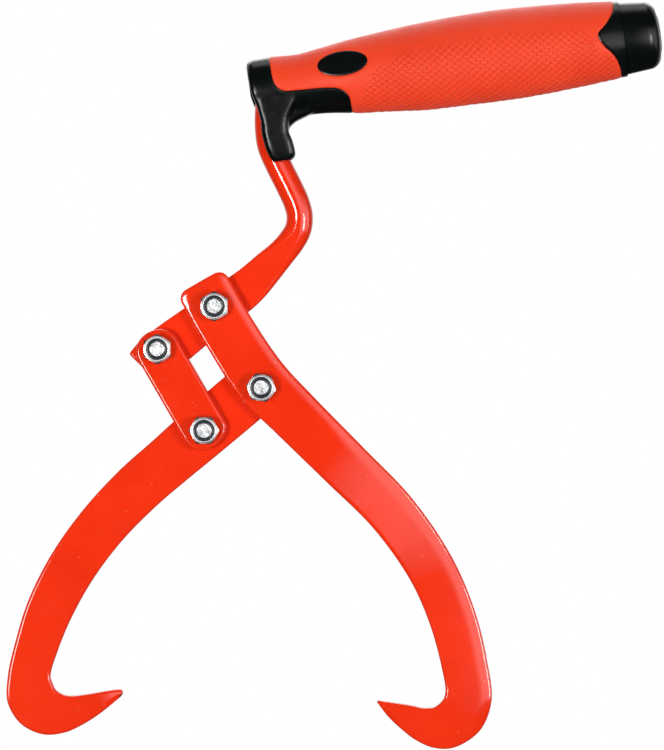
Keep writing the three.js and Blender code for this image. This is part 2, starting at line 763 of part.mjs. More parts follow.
const paint = new THREE.MeshStandardMaterial({ color: 0xe63214, roughness: 0.3, metalness: 0.1 });
const softCover = new THREE.MeshStandardMaterial({ color: 0xee4430, roughness: 0.6, metalness: 0 });
const hardPlastic = new THREE.MeshStandardMaterial({ color: 0x0f1012, roughness: 0.4, metalness: 0 });
const zinc = new THREE.MeshStandardMaterial({ color: 0xc4c8cc, roughness: 0.25, metalness: 1 });
const nylon = new THREE.MeshStandardMaterial({ color: 0x20262c, roughness: 0.5, metalness: 0 });

const tongs = new THREE.Group();

function add(parent, name, body, material) {
  const mesh = new THREE.Mesh(geometryOf(body), material);
  mesh.name = name;
  parent.add(mesh);
}

const grip = new THREE.Group();
grip.rotation.y = -gripTilt * degrees;
add(grip, 'grip_core', gripCore(), hardPlastic);
add(grip, 'grip_cover', gripCover(), softCover);
add(grip, 'end_cap', endCap(), hardPlastic);
tongs.add(grip);

add(tongs, 'handle_rod', handleRod(), paint);
add(tongs, 'arm_right', rightArm(), paint);
add(tongs, 'arm_left', leftArm(), paint);
add(tongs, 'link_front', link(frontFace - linkThickness, frontFace), paint);
add(tongs, 'link_rear', link(rearFace, rearFace + linkThickness), paint);

// Each pivot's bolt: where it is, what its head and nut seat on, and how the nut is turned
const armStack = [rearFace, frontFace - armThickness - gap];
const linkStack = [rearFace + linkThickness + gap, frontFace - linkThickness - gap];
const fasteners = [
  ['main', mainPivot, armStack, 0],
  ['link', linkPivot, linkStack, 0],
  ['jaw', jawPivot, armStack, 40],
  ['foot', footPivot, linkStack, 30],
];
for (const [name, centre, [headSeat, nutSeat], turned] of fasteners) {
  add(tongs, `bolt_${name}`, bolt(centre, headSeat, nutSeat, turned), zinc);
  add(tongs, `nut_${name}`, nut(centre, nutSeat, turned), zinc);
  add(tongs, `nylon_ring_${name}`, nylonRing(centre, nutSeat), nylon);
}

export default tongs;
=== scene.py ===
# %% [markdown]
# Log lifting tongs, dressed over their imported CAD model.
# The tongs are a painted steel linkage under a soft hand grip. The CAD model gives every piece its
# place and its joints. This lesson gives each piece its real surface: rounded stamped edges, a
# moulded grip with a diamond lattice, bright zinc nuts and glossy enamel.
# Sizes are written in millimetres, as on a workshop drawing, and become metres when a mesh is made.

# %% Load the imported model
import math

import bpy
import bmesh
import numpy as np
from mathutils import Matrix, Vector


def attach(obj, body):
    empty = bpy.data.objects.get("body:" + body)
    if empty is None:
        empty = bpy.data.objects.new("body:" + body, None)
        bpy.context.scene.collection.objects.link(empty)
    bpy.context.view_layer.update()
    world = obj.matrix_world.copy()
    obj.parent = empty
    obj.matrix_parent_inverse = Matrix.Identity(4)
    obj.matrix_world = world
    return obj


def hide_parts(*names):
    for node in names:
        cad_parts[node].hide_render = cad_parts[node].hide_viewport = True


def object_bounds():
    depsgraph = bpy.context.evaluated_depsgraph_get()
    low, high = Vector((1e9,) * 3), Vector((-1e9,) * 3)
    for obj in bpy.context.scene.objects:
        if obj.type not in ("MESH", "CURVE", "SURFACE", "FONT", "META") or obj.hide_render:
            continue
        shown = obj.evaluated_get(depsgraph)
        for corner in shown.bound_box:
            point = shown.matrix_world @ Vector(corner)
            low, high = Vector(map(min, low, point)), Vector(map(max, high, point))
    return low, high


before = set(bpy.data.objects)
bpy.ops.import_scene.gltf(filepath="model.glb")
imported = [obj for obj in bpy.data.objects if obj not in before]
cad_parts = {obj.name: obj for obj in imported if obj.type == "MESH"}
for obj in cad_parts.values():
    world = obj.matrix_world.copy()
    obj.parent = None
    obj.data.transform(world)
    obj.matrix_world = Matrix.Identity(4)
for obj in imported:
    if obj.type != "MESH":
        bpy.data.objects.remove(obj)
cad_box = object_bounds()

# %% [markdown]
# The linkage has four pivots at the corners of a parallelogram. Everything else is placed from them,
# so they come first, with the few driving sizes of plates, rod, bolts and grip.

# %% Driving sizes
GAP = 0.3
PLATE_EDGE, TIP_EDGE, TIP_THICK = 1.1, 0.6, 2.2
ARM_THICK, ARM_WIDTH, HEAD_CORNER = 5.0, 20.2, 4.0
LINK_THICK, LINK_WIDTH, LINK_END = 4.0, 16.8, 0.87
PIVOT_SPAN, LINK_LENGTH = 27.0, 35.5
JAW_REACH = 137.0
ROD_DIAMETER, FLAT_THICK = 10.0, 5.0
NECK_INSET, NECK_SHIFT, NECK_DROP, BEND_RADIUS = 7.06, 20.25, 82.92, 10.0
GRIP_TILT, GRIP_LENGTH, GRIP_RADIUS = 7.8, 157.5, 17.3
FRONT_SHARE, SEAM_SHARE, NARROWED = 0.561, 0.908, 0.9
GRIP_FRONT = -GRIP_LENGTH * FRONT_SHARE
SEAM = GRIP_FRONT + GRIP_LENGTH * SEAM_SHARE
COVER_WALL = 3.0
SPIGOT_LENGTH, SPIGOT_RADIUS, TANG_TO_SPIGOT = 6.0, 5.0, 6.65
BOLT_DIAMETER, ACROSS_FLATS = 6.0, 10.0


def heading(angle):
    turn = math.radians(angle)
    return np.array([math.cos(turn), math.sin(turn)])


neck_corner = heading(GRIP_TILT) * (GRIP_FRONT + NECK_INSET)
main_pivot = neck_corner - np.array([NECK_SHIFT, NECK_DROP])
link_pivot = main_pivot + heading(216.87) * PIVOT_SPAN
down = heading(-60)
jaw_pivot = main_pivot + down * LINK_LENGTH
foot_pivot = link_pivot + down * LINK_LENGTH
front_face = -FLAT_THICK / 2 - GAP
print("pivots (mm):", [p.round(2).tolist() for p in (main_pivot, link_pivot, jaw_pivot, foot_pivot)])

# %% [markdown]
# Every painted bar is a loft: a cross-section carried along the bar, changing as it goes. A curve
# through a few given points gives the edges. Centripetal Catmull-Rom is used because it passes
# through each point and never loops back on itself where points are close together.


# %% A smooth curve through points
def curve_at(points, shares):
    """Points on the curve at the given shares of its rows."""
    rows = np.asarray(points, float)
    last = len(rows) - 1
    ends = np.vstack([2 * rows[0] - rows[1], rows, 2 * rows[-1] - rows[-2]])
    spot = np.clip(np.asarray(shares, float) * last, 0, last)
    k = np.minimum(spot.astype(int), last - 1)
    w = (spot - k)[:, None]
    p0, p1, p2, p3 = ends[k], ends[k + 1], ends[k + 2], ends[k + 3]
    t0, t1, t2 = (
        np.maximum(np.sqrt(np.linalg.norm(b - a, axis=1)), 1e-3)[:, None]
        for a, b in ((p0, p1), (p1, p2), (p2, p3))
    )
    m1 = ((p1 - p0) / t0 - (p2 - p0) / (t0 + t1) + (p2 - p1) / t1) * t1
    m2 = ((p2 - p1) / t1 - (p3 - p1) / (t1 + t2) + (p3 - p2) / t2) * t1
    return p1 + m1 * w + (3 * (p2 - p1) - 2 * m1 - m2) * w**2 + (2 * (p1 - p2) + m1 + m2) * w**3


def smooth(value, low, high):
    t = np.clip((np.asarray(value, float) - low) / (high - low), 0, 1)
    return t * t * (3 - 2 * t)


# %% [markdown]
# A stamped bar has flat faces and small rounded edges. If the face had points only at its corners,
# smooth shading would bend the light across the whole face. More points near each corner hold the
# face flat and keep the highlight on the edge. Where the punch first bit, the face also rolls over
# gently for a few millimetres: "roll" is how far the front face drops at each of its two edges.

# %% The section of a bar
def bar_section(half_width, half_thick, radius, corner_steps=5, roll=(0.0, 0.0)):
    """A rounded rectangle as (across, deep) pairs, always with the same number of points."""
    radius = min(radius, half_width * 0.97, half_thick * 0.97)
    flat_w, flat_t = half_width - radius, half_thick - radius
    fit = min(1.0, flat_w / 4.6)
    points = []
    for quarter in range(4):
        sign_w = 1 if quarter in (0, 3) else -1
        sign_t = 1 if quarter < 2 else -1
        drops = {hand: roll[hand > 0] * fit if sign_t < 0 else 0.0 for hand in (-1, 1)}
        for step in range(corner_steps + 1):
            turn = math.radians(90 * (quarter + step / corner_steps))
            deep = sign_t * (flat_t - drops[sign_w]) + radius * math.sin(turn)
            points.append((sign_w * flat_w + radius * math.cos(turn), deep))
        if quarter in (0, 2):
            inboard = [k * fit for k in (0.4, 0.9, 1.5, 2.2, 3.1, 4.4)]
            for away, hand in [(d, 1) for d in inboard] + [(d, -1) for d in reversed(inboard)]:
                dip = drops[sign_w * hand] * max(0.0, 1 - away / (4.4 * fit)) ** 2.4
                points.append((sign_w * hand * (flat_w - away), sign_t * (half_thick - dip)))
        else:
            points.append((sign_w * half_width, 0.0))
    return np.array(points)


# %% Turn rings of points into an object
def make_object(name, vertices, faces):
    """An object whose mesh is given in millimetres, with its normals pointing out."""
    mesh = bpy.data.meshes.new(name)
    mesh.from_pydata((np.asarray(vertices) * 0.001).tolist(), [], faces)
    work = bmesh.new()
    work.from_mesh(mesh)
    bmesh.ops.recalc_face_normals(work, faces=work.faces)
    if work.calc_volume(signed=True) < 0:
        bmesh.ops.reverse_faces(work, faces=work.faces)
    work.to_mesh(mesh)
    work.free()
    thing = bpy.data.objects.new(name, mesh)
    bpy.context.scene.collection.objects.link(thing)
    return thing


def loft(name, rings, closed=False):
    """A skin over rings with equal counts of points. Open rows get a cap at each end."""
    rings = np.asarray(rings, float)
    count, around = rings.shape[:2]
    vertices = rings.reshape(-1, 3).tolist()
    faces = []
    rows = count if closed else count - 1
    for row in range(rows):
        a0, b0 = row * around, ((row + 1) % count) * around
        for k in range(around):
            n = (k + 1) % around
            faces.append((a0 + k, a0 + n, b0 + n, b0 + k))
    if not closed:
        for row in (0, count - 1):
            hub = len(vertices)
            vertices.append(rings[row].mean(axis=0).tolist())
            for k in range(around):
                faces.append((row * around + k, row * around + (k + 1) % around, hub))
    return make_object(name, vertices, faces)


# %% [markdown]
# Holes, slots and ground facets are cut with Boolean modifiers. Each cut is applied at once and the
# cutter removed, so that the finished piece is a plain mesh. Faces that meet at less than a given
# angle are shaded smoothly, and steeper ones keep a crisp edge.


# %% Cut, join and shade
def settle(thing):
    """Replace an object's mesh by what its modifiers make of it."""
    graph = bpy.context.evaluated_depsgraph_get()
    mesh = bpy.data.meshes.new_from_object(thing.evaluated_get(graph))
    old = thing.data
    thing.modifiers.clear()
    thing.data = mesh
    bpy.data.meshes.remove(old)
    return thing


def carve(thing, tool, operation="DIFFERENCE"):
    cut = thing.modifiers.new("cut", "BOOLEAN")
    cut.operation = operation
    cut.solver = "MANIFOLD"
    cut.object = tool
    settle(thing)
    bpy.data.objects.remove(tool)
    return thing


def shade(thing, angle=40):
    mesh = thing.data
    work = bmesh.new()
    work.from_mesh(mesh)
    limit = math.radians(angle)
    for face in work.faces:
        face.smooth = True
    for edge in work.edges:
        edge.smooth = len(edge.link_faces) == 2 and edge.calc_face_angle(0) < limit
    work.to_mesh(mesh)
    work.free()
    return thing


# %% Cutters and round turned shapes
def full_turn(sides):
    return np.linspace(0, 2 * math.pi, sides, endpoint=False)


def turned(name, profile, centre, sides=72, closed=False):
    """A shape turned on the Y axis from (radius, depth) pairs. A closed profile makes a ring."""
    return loft(name, [
        [(centre[0] + r * math.cos(t), depth, centre[1] + r * math.sin(t)) for t in full_turn(sides)]
        for r, depth in profile
    ], closed)


def prism(outline, near=-40.0, far=40.0):
    """A straight-walled solid over an outline in X and Z."""
    return loft("prism", [[(x, depth, z) for x, z in outline] for depth in (near, far)])


def drill(thing, *pivots):
    """Holes with running play for the bolts."""
    radius = BOLT_DIAMETER / 2 + GAP
    for pivot in pivots:
        carve(thing, turned("cutter", [(radius, -30.0), (radius, 30.0)], pivot, 48))
    return thing


# %% [markdown]
# The claw arms are cut from 5 mm plate. Their edges are drawn as pairs of inner and outer points,
# from the pivot to the beak. The rings between the pairs make a bar that can narrow, thin towards
# the beak and step sideways, which an extruded outline can't do.

# %% Claw outlines
RIGHT_CLAW = np.array([
    [-0.061, -0.025, 0.058, 0.069], [0.040, -0.125, 0.142, -0.022], [0.179, -0.260, 0.280, -0.163],
    [0.311, -0.391, 0.417, -0.306], [0.413, -0.535, 0.529, -0.471], [0.468, -0.660, 0.592, -0.619],
    [0.501, -0.782, 0.626, -0.758], [0.510, -0.842, 0.638, -0.869], [0.503, -0.866, 0.606, -0.951],
    [0.481, -0.885, 0.535, -0.998], [0.467, -0.888, 0.478, -0.999], [0.447, -0.888, 0.427, -0.977],
    [0.420, -0.882, 0.389, -0.948], [0.370, -0.874, 0.350, -0.911], [0.334, -0.869, 0.326, -0.880],
    [0.324, -0.8675, 0.320, -0.872],
])
LEFT_CLAW = np.array([
    [-0.049, -0.138, -0.143, -0.028], [-0.132, -0.209, -0.236, -0.111], [-0.228, -0.306, -0.334, -0.217],
    [-0.307, -0.410, -0.421, -0.338], [-0.369, -0.520, -0.487, -0.467], [-0.409, -0.617, -0.524, -0.584],
    [-0.427, -0.681, -0.545, -0.678], [-0.420, -0.705, -0.546, -0.754], [-0.413, -0.719, -0.509, -0.814],
    [-0.396, -0.731, -0.448, -0.843], [-0.378, -0.736, -0.387, -0.838], [-0.358, -0.736, -0.334, -0.814],
    [-0.315, -0.730, -0.292, -0.787], [-0.268, -0.722, -0.254, -0.757], [-0.240, -0.7185, -0.231, -0.737],
    [-0.229, -0.7195, -0.226, -0.728],
])


def claw_rows(shares, pivot):
    return [(pivot + row[:2] * JAW_REACH, pivot + row[2:] * JAW_REACH) for row in shares]


# %% Loft an arm from its edges
def set_back(radius, away):
    """How far a rounded corner falls back, at a distance from the end."""
    return radius - math.sqrt(radius**2 - (radius - away) ** 2) if away < radius else 0.0


def plate_arm(name, rows, shares, depth_at, thick_at, head_corner=0.0, roll_at=None, tilt_at=None):
    """The first end keeps squared corners of the given radius, and both ends get rounded edges."""
    inner = curve_at([row[0] for row in rows], shares)
    outer = curve_at([row[1] for row in rows], shares)
    middle = (inner + outer) / 2
    from_head = np.concatenate([[0], np.cumsum(np.linalg.norm(np.diff(middle, axis=0), axis=1))])
    rings = []
    for k, share in enumerate(shares):
        across = outer[k] - inner[k]
        half_width = np.linalg.norm(across) / 2
        across /= 2 * half_width
        half_width -= set_back(head_corner, from_head[k])
        half_thick = thick_at(share) / 2 - set_back(PLATE_EDGE, from_head[k])
        half_thick -= set_back(TIP_EDGE, from_head[-1] - from_head[k])
        tilt = tilt_at(share) if tilt_at else 0.0
        roll = roll_at(from_head[k]) if roll_at else (0.0, 0.0)
        rings.append([
            (middle[k][0] + across[0] * a, depth_at(share) + d + tilt * a, middle[k][1] + across[1] * a)
            for a, d in bar_section(half_width, half_thick, PLATE_EDGE, roll=roll)
        ])
    return loft(name, rings)


def end_shares(first_length, rows, radius):
    """Extra shares close to the head, so that its rounded edge and corners are smooth."""
    turns = np.linspace(0, math.pi / 2, 14)
    return radius * (1 - np.cos(turns)) / first_length / (rows - 1)


def grind_beak(arm, rows):
    """Grind the lower edge of a beak to a facet, on the front and on the rear face."""
    start, end = rows[-1][1], rows[-3][1]
    along = (end - start) / np.linalg.norm(end - start)
    upwards = np.array([-along[1], along[0]])
    upwards = upwards * (1 if upwards[1] > 0 else -1)
    width, depth, run = 3.0, 1.5, 2.0
    for side in (-1, 1):
        face = side * ARM_THICK / 2
        corners = [
            (-run, face - side * depth * (1 + run / width)),
            (width * (1 + run / depth), face + side * run),
            (-run, face + side * run),
        ]
        rings = []
        for reach in (-run, np.linalg.norm(end - start) + run):
            x, z = start + along * reach
            rings.append([(x + upwards[0] * up, deep, z + upwards[1] * up) for up, deep in corners])
        carve(arm, loft("wedge", rings))


def beak_thickness(start):
    return lambda share: ARM_THICK + (TIP_THICK - ARM_THICK) * float(smooth(share, start, 1))


# %% [markdown]
# The right arm lies in front of the rod at its pivots. Below them it steps back by its own thickness,
# so that its claw meets the left one in line. The step was pressed cold, and sprang back to a slight
# turn of the lower arm, by about two degrees. Its head is cut square with rounded corners.

# %% Right arm
side = np.array([-down[1], down[0]])
half = ARM_WIDTH / 2
head_end = main_pivot - down * 11.0
head_low = main_pivot + down * LINK_LENGTH * 0.333
right_rows = [
    (head_end - side * half, head_end + side * half),
    (head_low - side * half, head_low + side * half),
    *claw_rows(RIGHT_CLAW, jaw_pivot),
]
first, count = np.linalg.norm(head_low - head_end), len(right_rows)
right_shares = np.unique(np.concatenate([
    np.linspace(0, 1, 289), end_shares(first, count, HEAD_CORNER), end_shares(first, count, PLATE_EDGE),
    1 - end_shares(2.0, count, TIP_EDGE),
]))
front_arm_middle = front_face - ARM_THICK / 2
arm_right = plate_arm(
    "right_arm_plate", right_rows, right_shares,
    lambda share: front_arm_middle * (1 - float(smooth(share, 0.2, 0.36))),
    beak_thickness(0.8), HEAD_CORNER,
    roll_at=lambda reach: (0.4 * (1 - float(smooth(reach, 4, 11))), 0.34),
    tilt_at=lambda share: 0.031 * float(smooth(share, 0.24, 0.36)),
)
grind_beak(drill(arm_right, main_pivot, jaw_pivot), right_rows)
print("right arm faces:", len(arm_right.data.polygons))

# %% [markdown]
# The left arm lies in the middle layer, in line with the rod's flat end. Its root is a full round on
# the jaw pivot, hidden by the right arm from the front but open to view from the back.

# %% Left arm
towards = (jaw_pivot - foot_pivot) / np.linalg.norm(jaw_pivot - foot_pivot)
lean = math.radians(4.2)
along = np.array([
    towards[0] * math.cos(lean) - towards[1] * math.sin(lean),
    towards[0] * math.sin(lean) + towards[1] * math.cos(lean),
])
across = np.array([-along[1], along[0]])
root_half = ARM_WIDTH * 1.026 / 2
root_middle = jaw_pivot + across * ARM_WIDTH * 0.085
left_rows = []
for step in range(6):
    turn = math.radians(4 + step * 86 / 5)
    reach = root_middle + along * root_half * math.cos(turn)
    out = across * root_half * math.sin(turn)
    left_rows.append((reach - out, reach + out))
left_rows.append((foot_pivot - across * root_half, foot_pivot + across * root_half))
left_rows += claw_rows(LEFT_CLAW, foot_pivot)
left_shares = np.unique(np.concatenate([
    np.linspace(0, 1, 289), np.linspace(0, 0.25, 120), 1 - end_shares(2.0, len(left_rows), TIP_EDGE),
]))
arm_left = plate_arm("left_arm_plate", left_rows, left_shares, lambda share: 0.0, beak_thickness(0.84))
grind_beak(drill(arm_left, jaw_pivot, foot_pivot), left_rows)
print("left arm faces:", len(arm_left.data.polygons))

# %% [markdown]
# The two links are plain strips with rounded ends, a little flatter than half circles. A strip's edge
# is rounded all the way round, so it is built from copies of its outline: each copy is drawn in a
# little and moved towards a face.


# %% Links
def strip_outline(inset, steps=28):
    wide, long = LINK_WIDTH / 2 - inset, LINK_WIDTH / 2 * LINK_END - inset
    points = []
    for centre, hand in ((foot_pivot, 1), (link_pivot, -1)):
        for turn in (math.pi * step / steps for step in range(steps + 1)):
            out = heading(30) * wide * math.cos(turn) + down * long * math.sin(turn)
            points.append(centre + out * hand)
    return points


def strip(name, near, far):
    profile = [(PLATE_EDGE + 0.45, near)]
    profile += [
        (PLATE_EDGE * (1 - math.sin(t)), near + PLATE_EDGE * (1 - math.cos(t)))
        for t in np.linspace(0, math.pi / 2, 7)
    ]
    profile += [(inset, near + far - depth) for inset, depth in reversed(profile)]
    rings = [[(p[0], depth, p[1]) for p in strip_outline(inset)] for inset, depth in profile]
    return drill(loft(name, rings), link_pivot, foot_pivot)


link_front = strip("front_link_strip", front_face - LINK_THICK, front_face)
link_rear = strip("rear_link_strip", -front_face, -front_face + LINK_THICK)
print("link length (mm):", round(LINK_LENGTH + LINK_WIDTH * LINK_END, 1))

# %% [markdown]
# The rod is a 10 mm bar. It leaves the grip, turns down, bows forward and back, and its lower end is
# forged flat to carry two pivots. One loft does all of it: the section starts as a circle and its
# thickness shrinks while its width grows, as the metal does under the hammer.

# %% Rod stations
DROP_ROWS = [
    (0.0, -0.186, 1, 0), (0.011, -0.264, 1, 0), (0.050, -0.355, 1, 0), (0.096, -0.447, 1, 0),
    (0.131, -0.525, 1, 0), (0.145, -0.585, 1, 0), (0.138, -0.644, 1.02, 0.08),
    (0.109, -0.697, 1.04, 0.29), (0.064, -0.752, 1.08, 0.55), (0.010, -0.808, 1.22, 0.8),
]
FLAT_ROWS = [
    (0.509, 0.313, 1.44, 0.97), (0.336, 0.170, 1.51, 1), (0.018, -0.055, 1.54, 1),
    (-0.280, -0.284, 1.63, 1), (-0.518, -0.467, 1.71, 1), (-0.818, -0.701, 1.75, 1),
    (-0.993, -0.878, 1.62, 1),
]
grip_axis = heading(GRIP_TILT)
bend_turn = math.radians(90 - GRIP_TILT)
bend_start = BEND_RADIUS * math.tan(bend_turn / 2) + GRIP_FRONT + NECK_INSET
tang_end = SEAM - SPIGOT_LENGTH - TANG_TO_SPIGOT
rod_rows = [(grip_axis * (tang_end + (bend_start - tang_end) * k / 4), 1, 0) for k in range(4)]
bend_centre = grip_axis * bend_start + np.array([grip_axis[1], -grip_axis[0]]) * BEND_RADIUS
for step in range(6):
    turn = math.radians(90 + GRIP_TILT) + bend_turn * step / 5
    rod_rows.append((bend_centre + np.array([math.cos(turn), math.sin(turn)]) * BEND_RADIUS, 1, 0))
for rows, base, unit in ((DROP_ROWS, neck_corner, NECK_DROP), (FLAT_ROWS, main_pivot, PIVOT_SPAN)):
    rod_rows += [(base + np.array([x, z]) * unit, w, f) for x, z, w, f in rows]


def rod_at(shares):
    line = [row[0] for row in rod_rows]
    place = curve_at(line, shares)
    ahead = curve_at(line, np.clip(shares + 1e-4, 0, 1)) - curve_at(line, np.clip(shares - 1e-4, 0, 1))
    ahead /= np.linalg.norm(ahead, axis=1)[:, None]
    spot = shares * (len(rod_rows) - 1)
    grid = np.arange(len(rod_rows))
    width = np.interp(spot, grid, [row[1] for row in rod_rows]) * ROD_DIAMETER
    flat = np.interp(spot, grid, [row[2] for row in rod_rows])
    return place, np.stack([-ahead[:, 1], ahead[:, 0]], axis=1), width, flat


# %% Rod
rod_shares = np.unique(np.concatenate([
    np.linspace(0, 1, 313), 1 - end_shares(5.0, len(rod_rows), PLATE_EDGE),
]))
place, sideways, width, flat = rod_at(rod_shares)
kernel = np.hanning(17) / np.hanning(17).sum()
width, flat = (np.convolve(np.pad(row, 8, mode="edge"), kernel, mode="valid") for row in (width, flat))
to_end = np.concatenate([np.cumsum(np.linalg.norm(np.diff(place, axis=0), axis=1)[::-1])[::-1], [0]])
rod_rings = []
for k in range(len(rod_shares)):
    thick = ROD_DIAMETER + (FLAT_THICK - ROD_DIAMETER) * flat[k]
    radius = ROD_DIAMETER / 2 + (PLATE_EDGE - ROD_DIAMETER / 2) * flat[k]
    pull = set_back(PLATE_EDGE, to_end[k])
    rod_rings.append([
        (place[k][0] + sideways[k][0] * a, d, place[k][1] + sideways[k][1] * a)
        for a, d in bar_section(width[k] / 2 - pull * 0.8, thick / 2 - pull, radius, 9)
    ])
handle_rod = drill(loft("bent_rod", rod_rings), main_pivot, link_pivot)
print("rod length (mm):", round(float(to_end[0]), 1))

# %% [markdown]
# The grip is two mouldings on the rod's tang: a hard black core with a finger guard, and a soft cover
# moulded over it. Both follow one barrel, so the barrel is a function: how far its skin stands above
# and below the axis at each place. Its sections are a little narrower than they are high.

# %% Grip barrel
GRIP_ROWS = np.array([
    [0, 0.66, 0.66], [0.06, 0.678, 0.68], [0.12, 0.655, 0.695], [0.18, 0.722, 0.72],
    [0.25, 0.818, 0.80], [0.33, 0.895, 0.862], [0.42, 0.965, 0.94], [0.52, 1.012, 0.957],
    [0.62, 1.028, 0.968], [0.70, 1.0, 0.948], [0.78, 0.960, 0.905], [0.86, 0.90, 0.848],
    [0.908, 0.855, 0.812],
])
grip_fine = curve_at(GRIP_ROWS, np.linspace(0, 1, 400))


def barrel_heights(along):
    share = (np.asarray(along) - GRIP_FRONT) / GRIP_LENGTH
    return [np.interp(share, grip_fine[:, 0], grip_fine[:, k]) * GRIP_RADIUS for k in (1, 2)]


def barrel_ring(along, wall, turns, sampled=None):
    above, below = barrel_heights(along if sampled is None else sampled)
    high = (above + below) / 2 - wall
    deep = (above + below) / 2 * NARROWED - wall
    middle = (above - below) / 2
    return [(along, deep * math.sin(t), middle + high * math.cos(t)) for t in turns]


def barrel(name, wall, count, sides, spare=0.0):
    nose = 2.2
    turns = full_turn(sides)
    rings = []
    for turn in np.linspace(0, math.pi / 2, 7)[:-1]:
        rings.append(barrel_ring(
            GRIP_FRONT + nose * (1 - math.cos(turn)), wall + nose * (1 - math.sin(turn)), turns, GRIP_FRONT,
        ))
    for along in np.linspace(GRIP_FRONT + nose, SEAM + spare, count):
        rings.append(barrel_ring(along, wall, turns))
    return loft(name, rings)


def to_world(thing):
    """Tilt a piece from the grip's own frame into the tongs' frame."""
    thing.data.transform(Matrix.Rotation(-math.radians(GRIP_TILT), 4, "Y"))
    return thing


print("grip height (mm):", round(float(sum(barrel_heights(10.0))), 1))

# %% [markdown]
# Where the cover ends is seen best from the side, so its edges are drawn there: the front one steps
# back over the finger guard, and the rear one swings forward to a point. A prism over that outline
# cuts the cover out of the barrel, and a slightly larger one makes the room for it in the core.

# %% Cover outline
FRONT_EDGE = np.array([
    [0.056, 1.25], [0.057, 0.55], [0.060, 0.131], [0.066, -0.016], [0.081, -0.128],
    [0.120, -0.161], [0.179, -0.189], [0.204, -0.226], [0.222, -0.30], [0.235, -0.456],
    [0.238, -0.70], [0.239, -1.25],
])
REAR_EDGE = np.array([
    [0.895, -1.25], [0.893, -0.805], [0.887, -0.528], [0.877, -0.339], [0.859, -0.139],
    [0.848, 0.041], [0.847, 0.171], [0.862, 0.306], [0.876, 0.441], [0.891, 0.651],
    [0.896, 0.862], [0.896, 1.25],
])
WINDOW = (GRIP_FRONT + GRIP_LENGTH * 0.23, GRIP_RADIUS * 0.3, 9.5, 4.8)


def grip_points(shares):
    return np.stack([GRIP_FRONT + shares[:, 0] * GRIP_LENGTH, shares[:, 1] * GRIP_RADIUS], axis=1)


def edge_line(shares, clearance):
    line = curve_at(grip_points(shares), np.linspace(0, 1, 120))
    ahead = np.gradient(line, axis=0)
    ahead /= np.linalg.norm(ahead, axis=1)[:, None]
    return line - np.stack([-ahead[:, 1], ahead[:, 0]], axis=1) * clearance


def cover_outline(clearance):
    return np.vstack([edge_line(FRONT_EDGE, clearance), edge_line(REAR_EDGE, clearance)])


def window_outline(clearance):
    x, z, half_long, half_high = WINDOW
    long, high = half_long + clearance, half_high + clearance
    return [(x + long * math.cos(t), z + high * math.sin(t)) for t in full_turn(96)]


# %% Distance from a moulded edge
def distance_to(lines, points):
    """Shortest side-view distance (mm) from each point to the moulded edges."""
    best = np.full(len(points), 1e9)
    for line in lines:
        a, b = line[:-1], line[1:]
        seg = b - a
        size = (seg**2).sum(axis=1)
        for start in range(0, len(points), 20000):
            block = points[start:start + 20000, None, :]
            t = np.clip(((block - a) * seg).sum(axis=2) / size, 0, 1)
            gap = np.linalg.norm(block - (a + seg * t[..., None]), axis=2).min(axis=1)
            best[start:start + 20000] = np.minimum(best[start:start + 20000], gap)
    return best


moulded_edges = [edge_line(FRONT_EDGE, 0.0), edge_line(REAR_EDGE, 0.0)]
window_ring = np.array(window_outline(0.0))
moulded_edges.append(np.vstack([window_ring, window_ring[:1]]))

# %% [markdown]
# The soft cover stands a touch proud of the core, and its edge rolls over softly. The cut leaves a
# sharp edge, so the points of the skin near it are drawn in, most at the edge itself.

# %% Soft cover
cover = barrel("soft_cover_skin", 0.0, 290, 208)
carve(cover, barrel("inner", COVER_WALL, 40, 48))
carve(cover, prism(cover_outline(0.0)), "INTERSECT")
carve(cover, prism(window_outline(0.0)))


def skin_points(thing):
    """Points of a mesh in the grip's frame (mm), with their distance out from the barrel's middle."""
    spots = np.empty(len(thing.data.vertices) * 3)
    thing.data.vertices.foreach_get("co", spots)
    spots = spots.reshape(-1, 3) * 1000
    above, below = barrel_heights(spots[:, 0])
    up = spots[:, 2] - (above - below) / 2
    high = (above + below) / 2
    return spots, np.hypot(up / high, spots[:, 1] / (high * NARROWED)), up


def draw_in(thing, depth_at):
    """Move the outer skin inwards by what depth_at gives for each point (mm)."""
    spots, out, up = skin_points(thing)
    pull = depth_at(spots) * (out > 0.96)
    radial = np.stack([np.zeros(len(up)), spots[:, 1] / NARROWED**2, up], axis=1)
    radial /= np.maximum(np.linalg.norm(radial, axis=1), 1e-9)[:, None]
    spots -= radial * pull[:, None]
    thing.data.vertices.foreach_set("co", (spots / 1000).ravel())
    thing.data.update()


def roll_edges(thing, lines, reach, depth):
    """Draw the outer skin in near the given side-view lines, most at the lines themselves."""
    def depth_at(spots):
        away = distance_to(lines, spots[:, [0, 2]])
        return depth * (1 - np.sqrt(1 - (1 - np.clip(away / reach, 0, 1)) ** 2))

    draw_in(thing, depth_at)


roll_edges(cover, moulded_edges, 1.3, 0.4)
print("cover points:", len(cover.data.vertices))

# %% [markdown]
# The lattice on the cover is a field of low diamond pillows with grooves between them. It covers both
# sides and the underside, and stops along a curved line below the top. A zone value on each point of
# the cover says where the lattice is: Geometry Nodes can read it where it places the pillows.

# %% Lattice zone
ZONE_TOP = np.array([
    [0.278, -0.288], [0.300, -0.07], [0.3265, 0.113], [0.360, 0.24], [0.396, 0.33], [0.449, 0.385],
    [0.538, 0.445], [0.660, 0.435], [0.780, 0.323], [0.830, 0.094], [0.845, 0.002],
])
ZONE_FRONT = np.array([[-1.1, 0.243], [-0.75, 0.248], [-0.63, 0.2545], [-0.288, 0.278]])


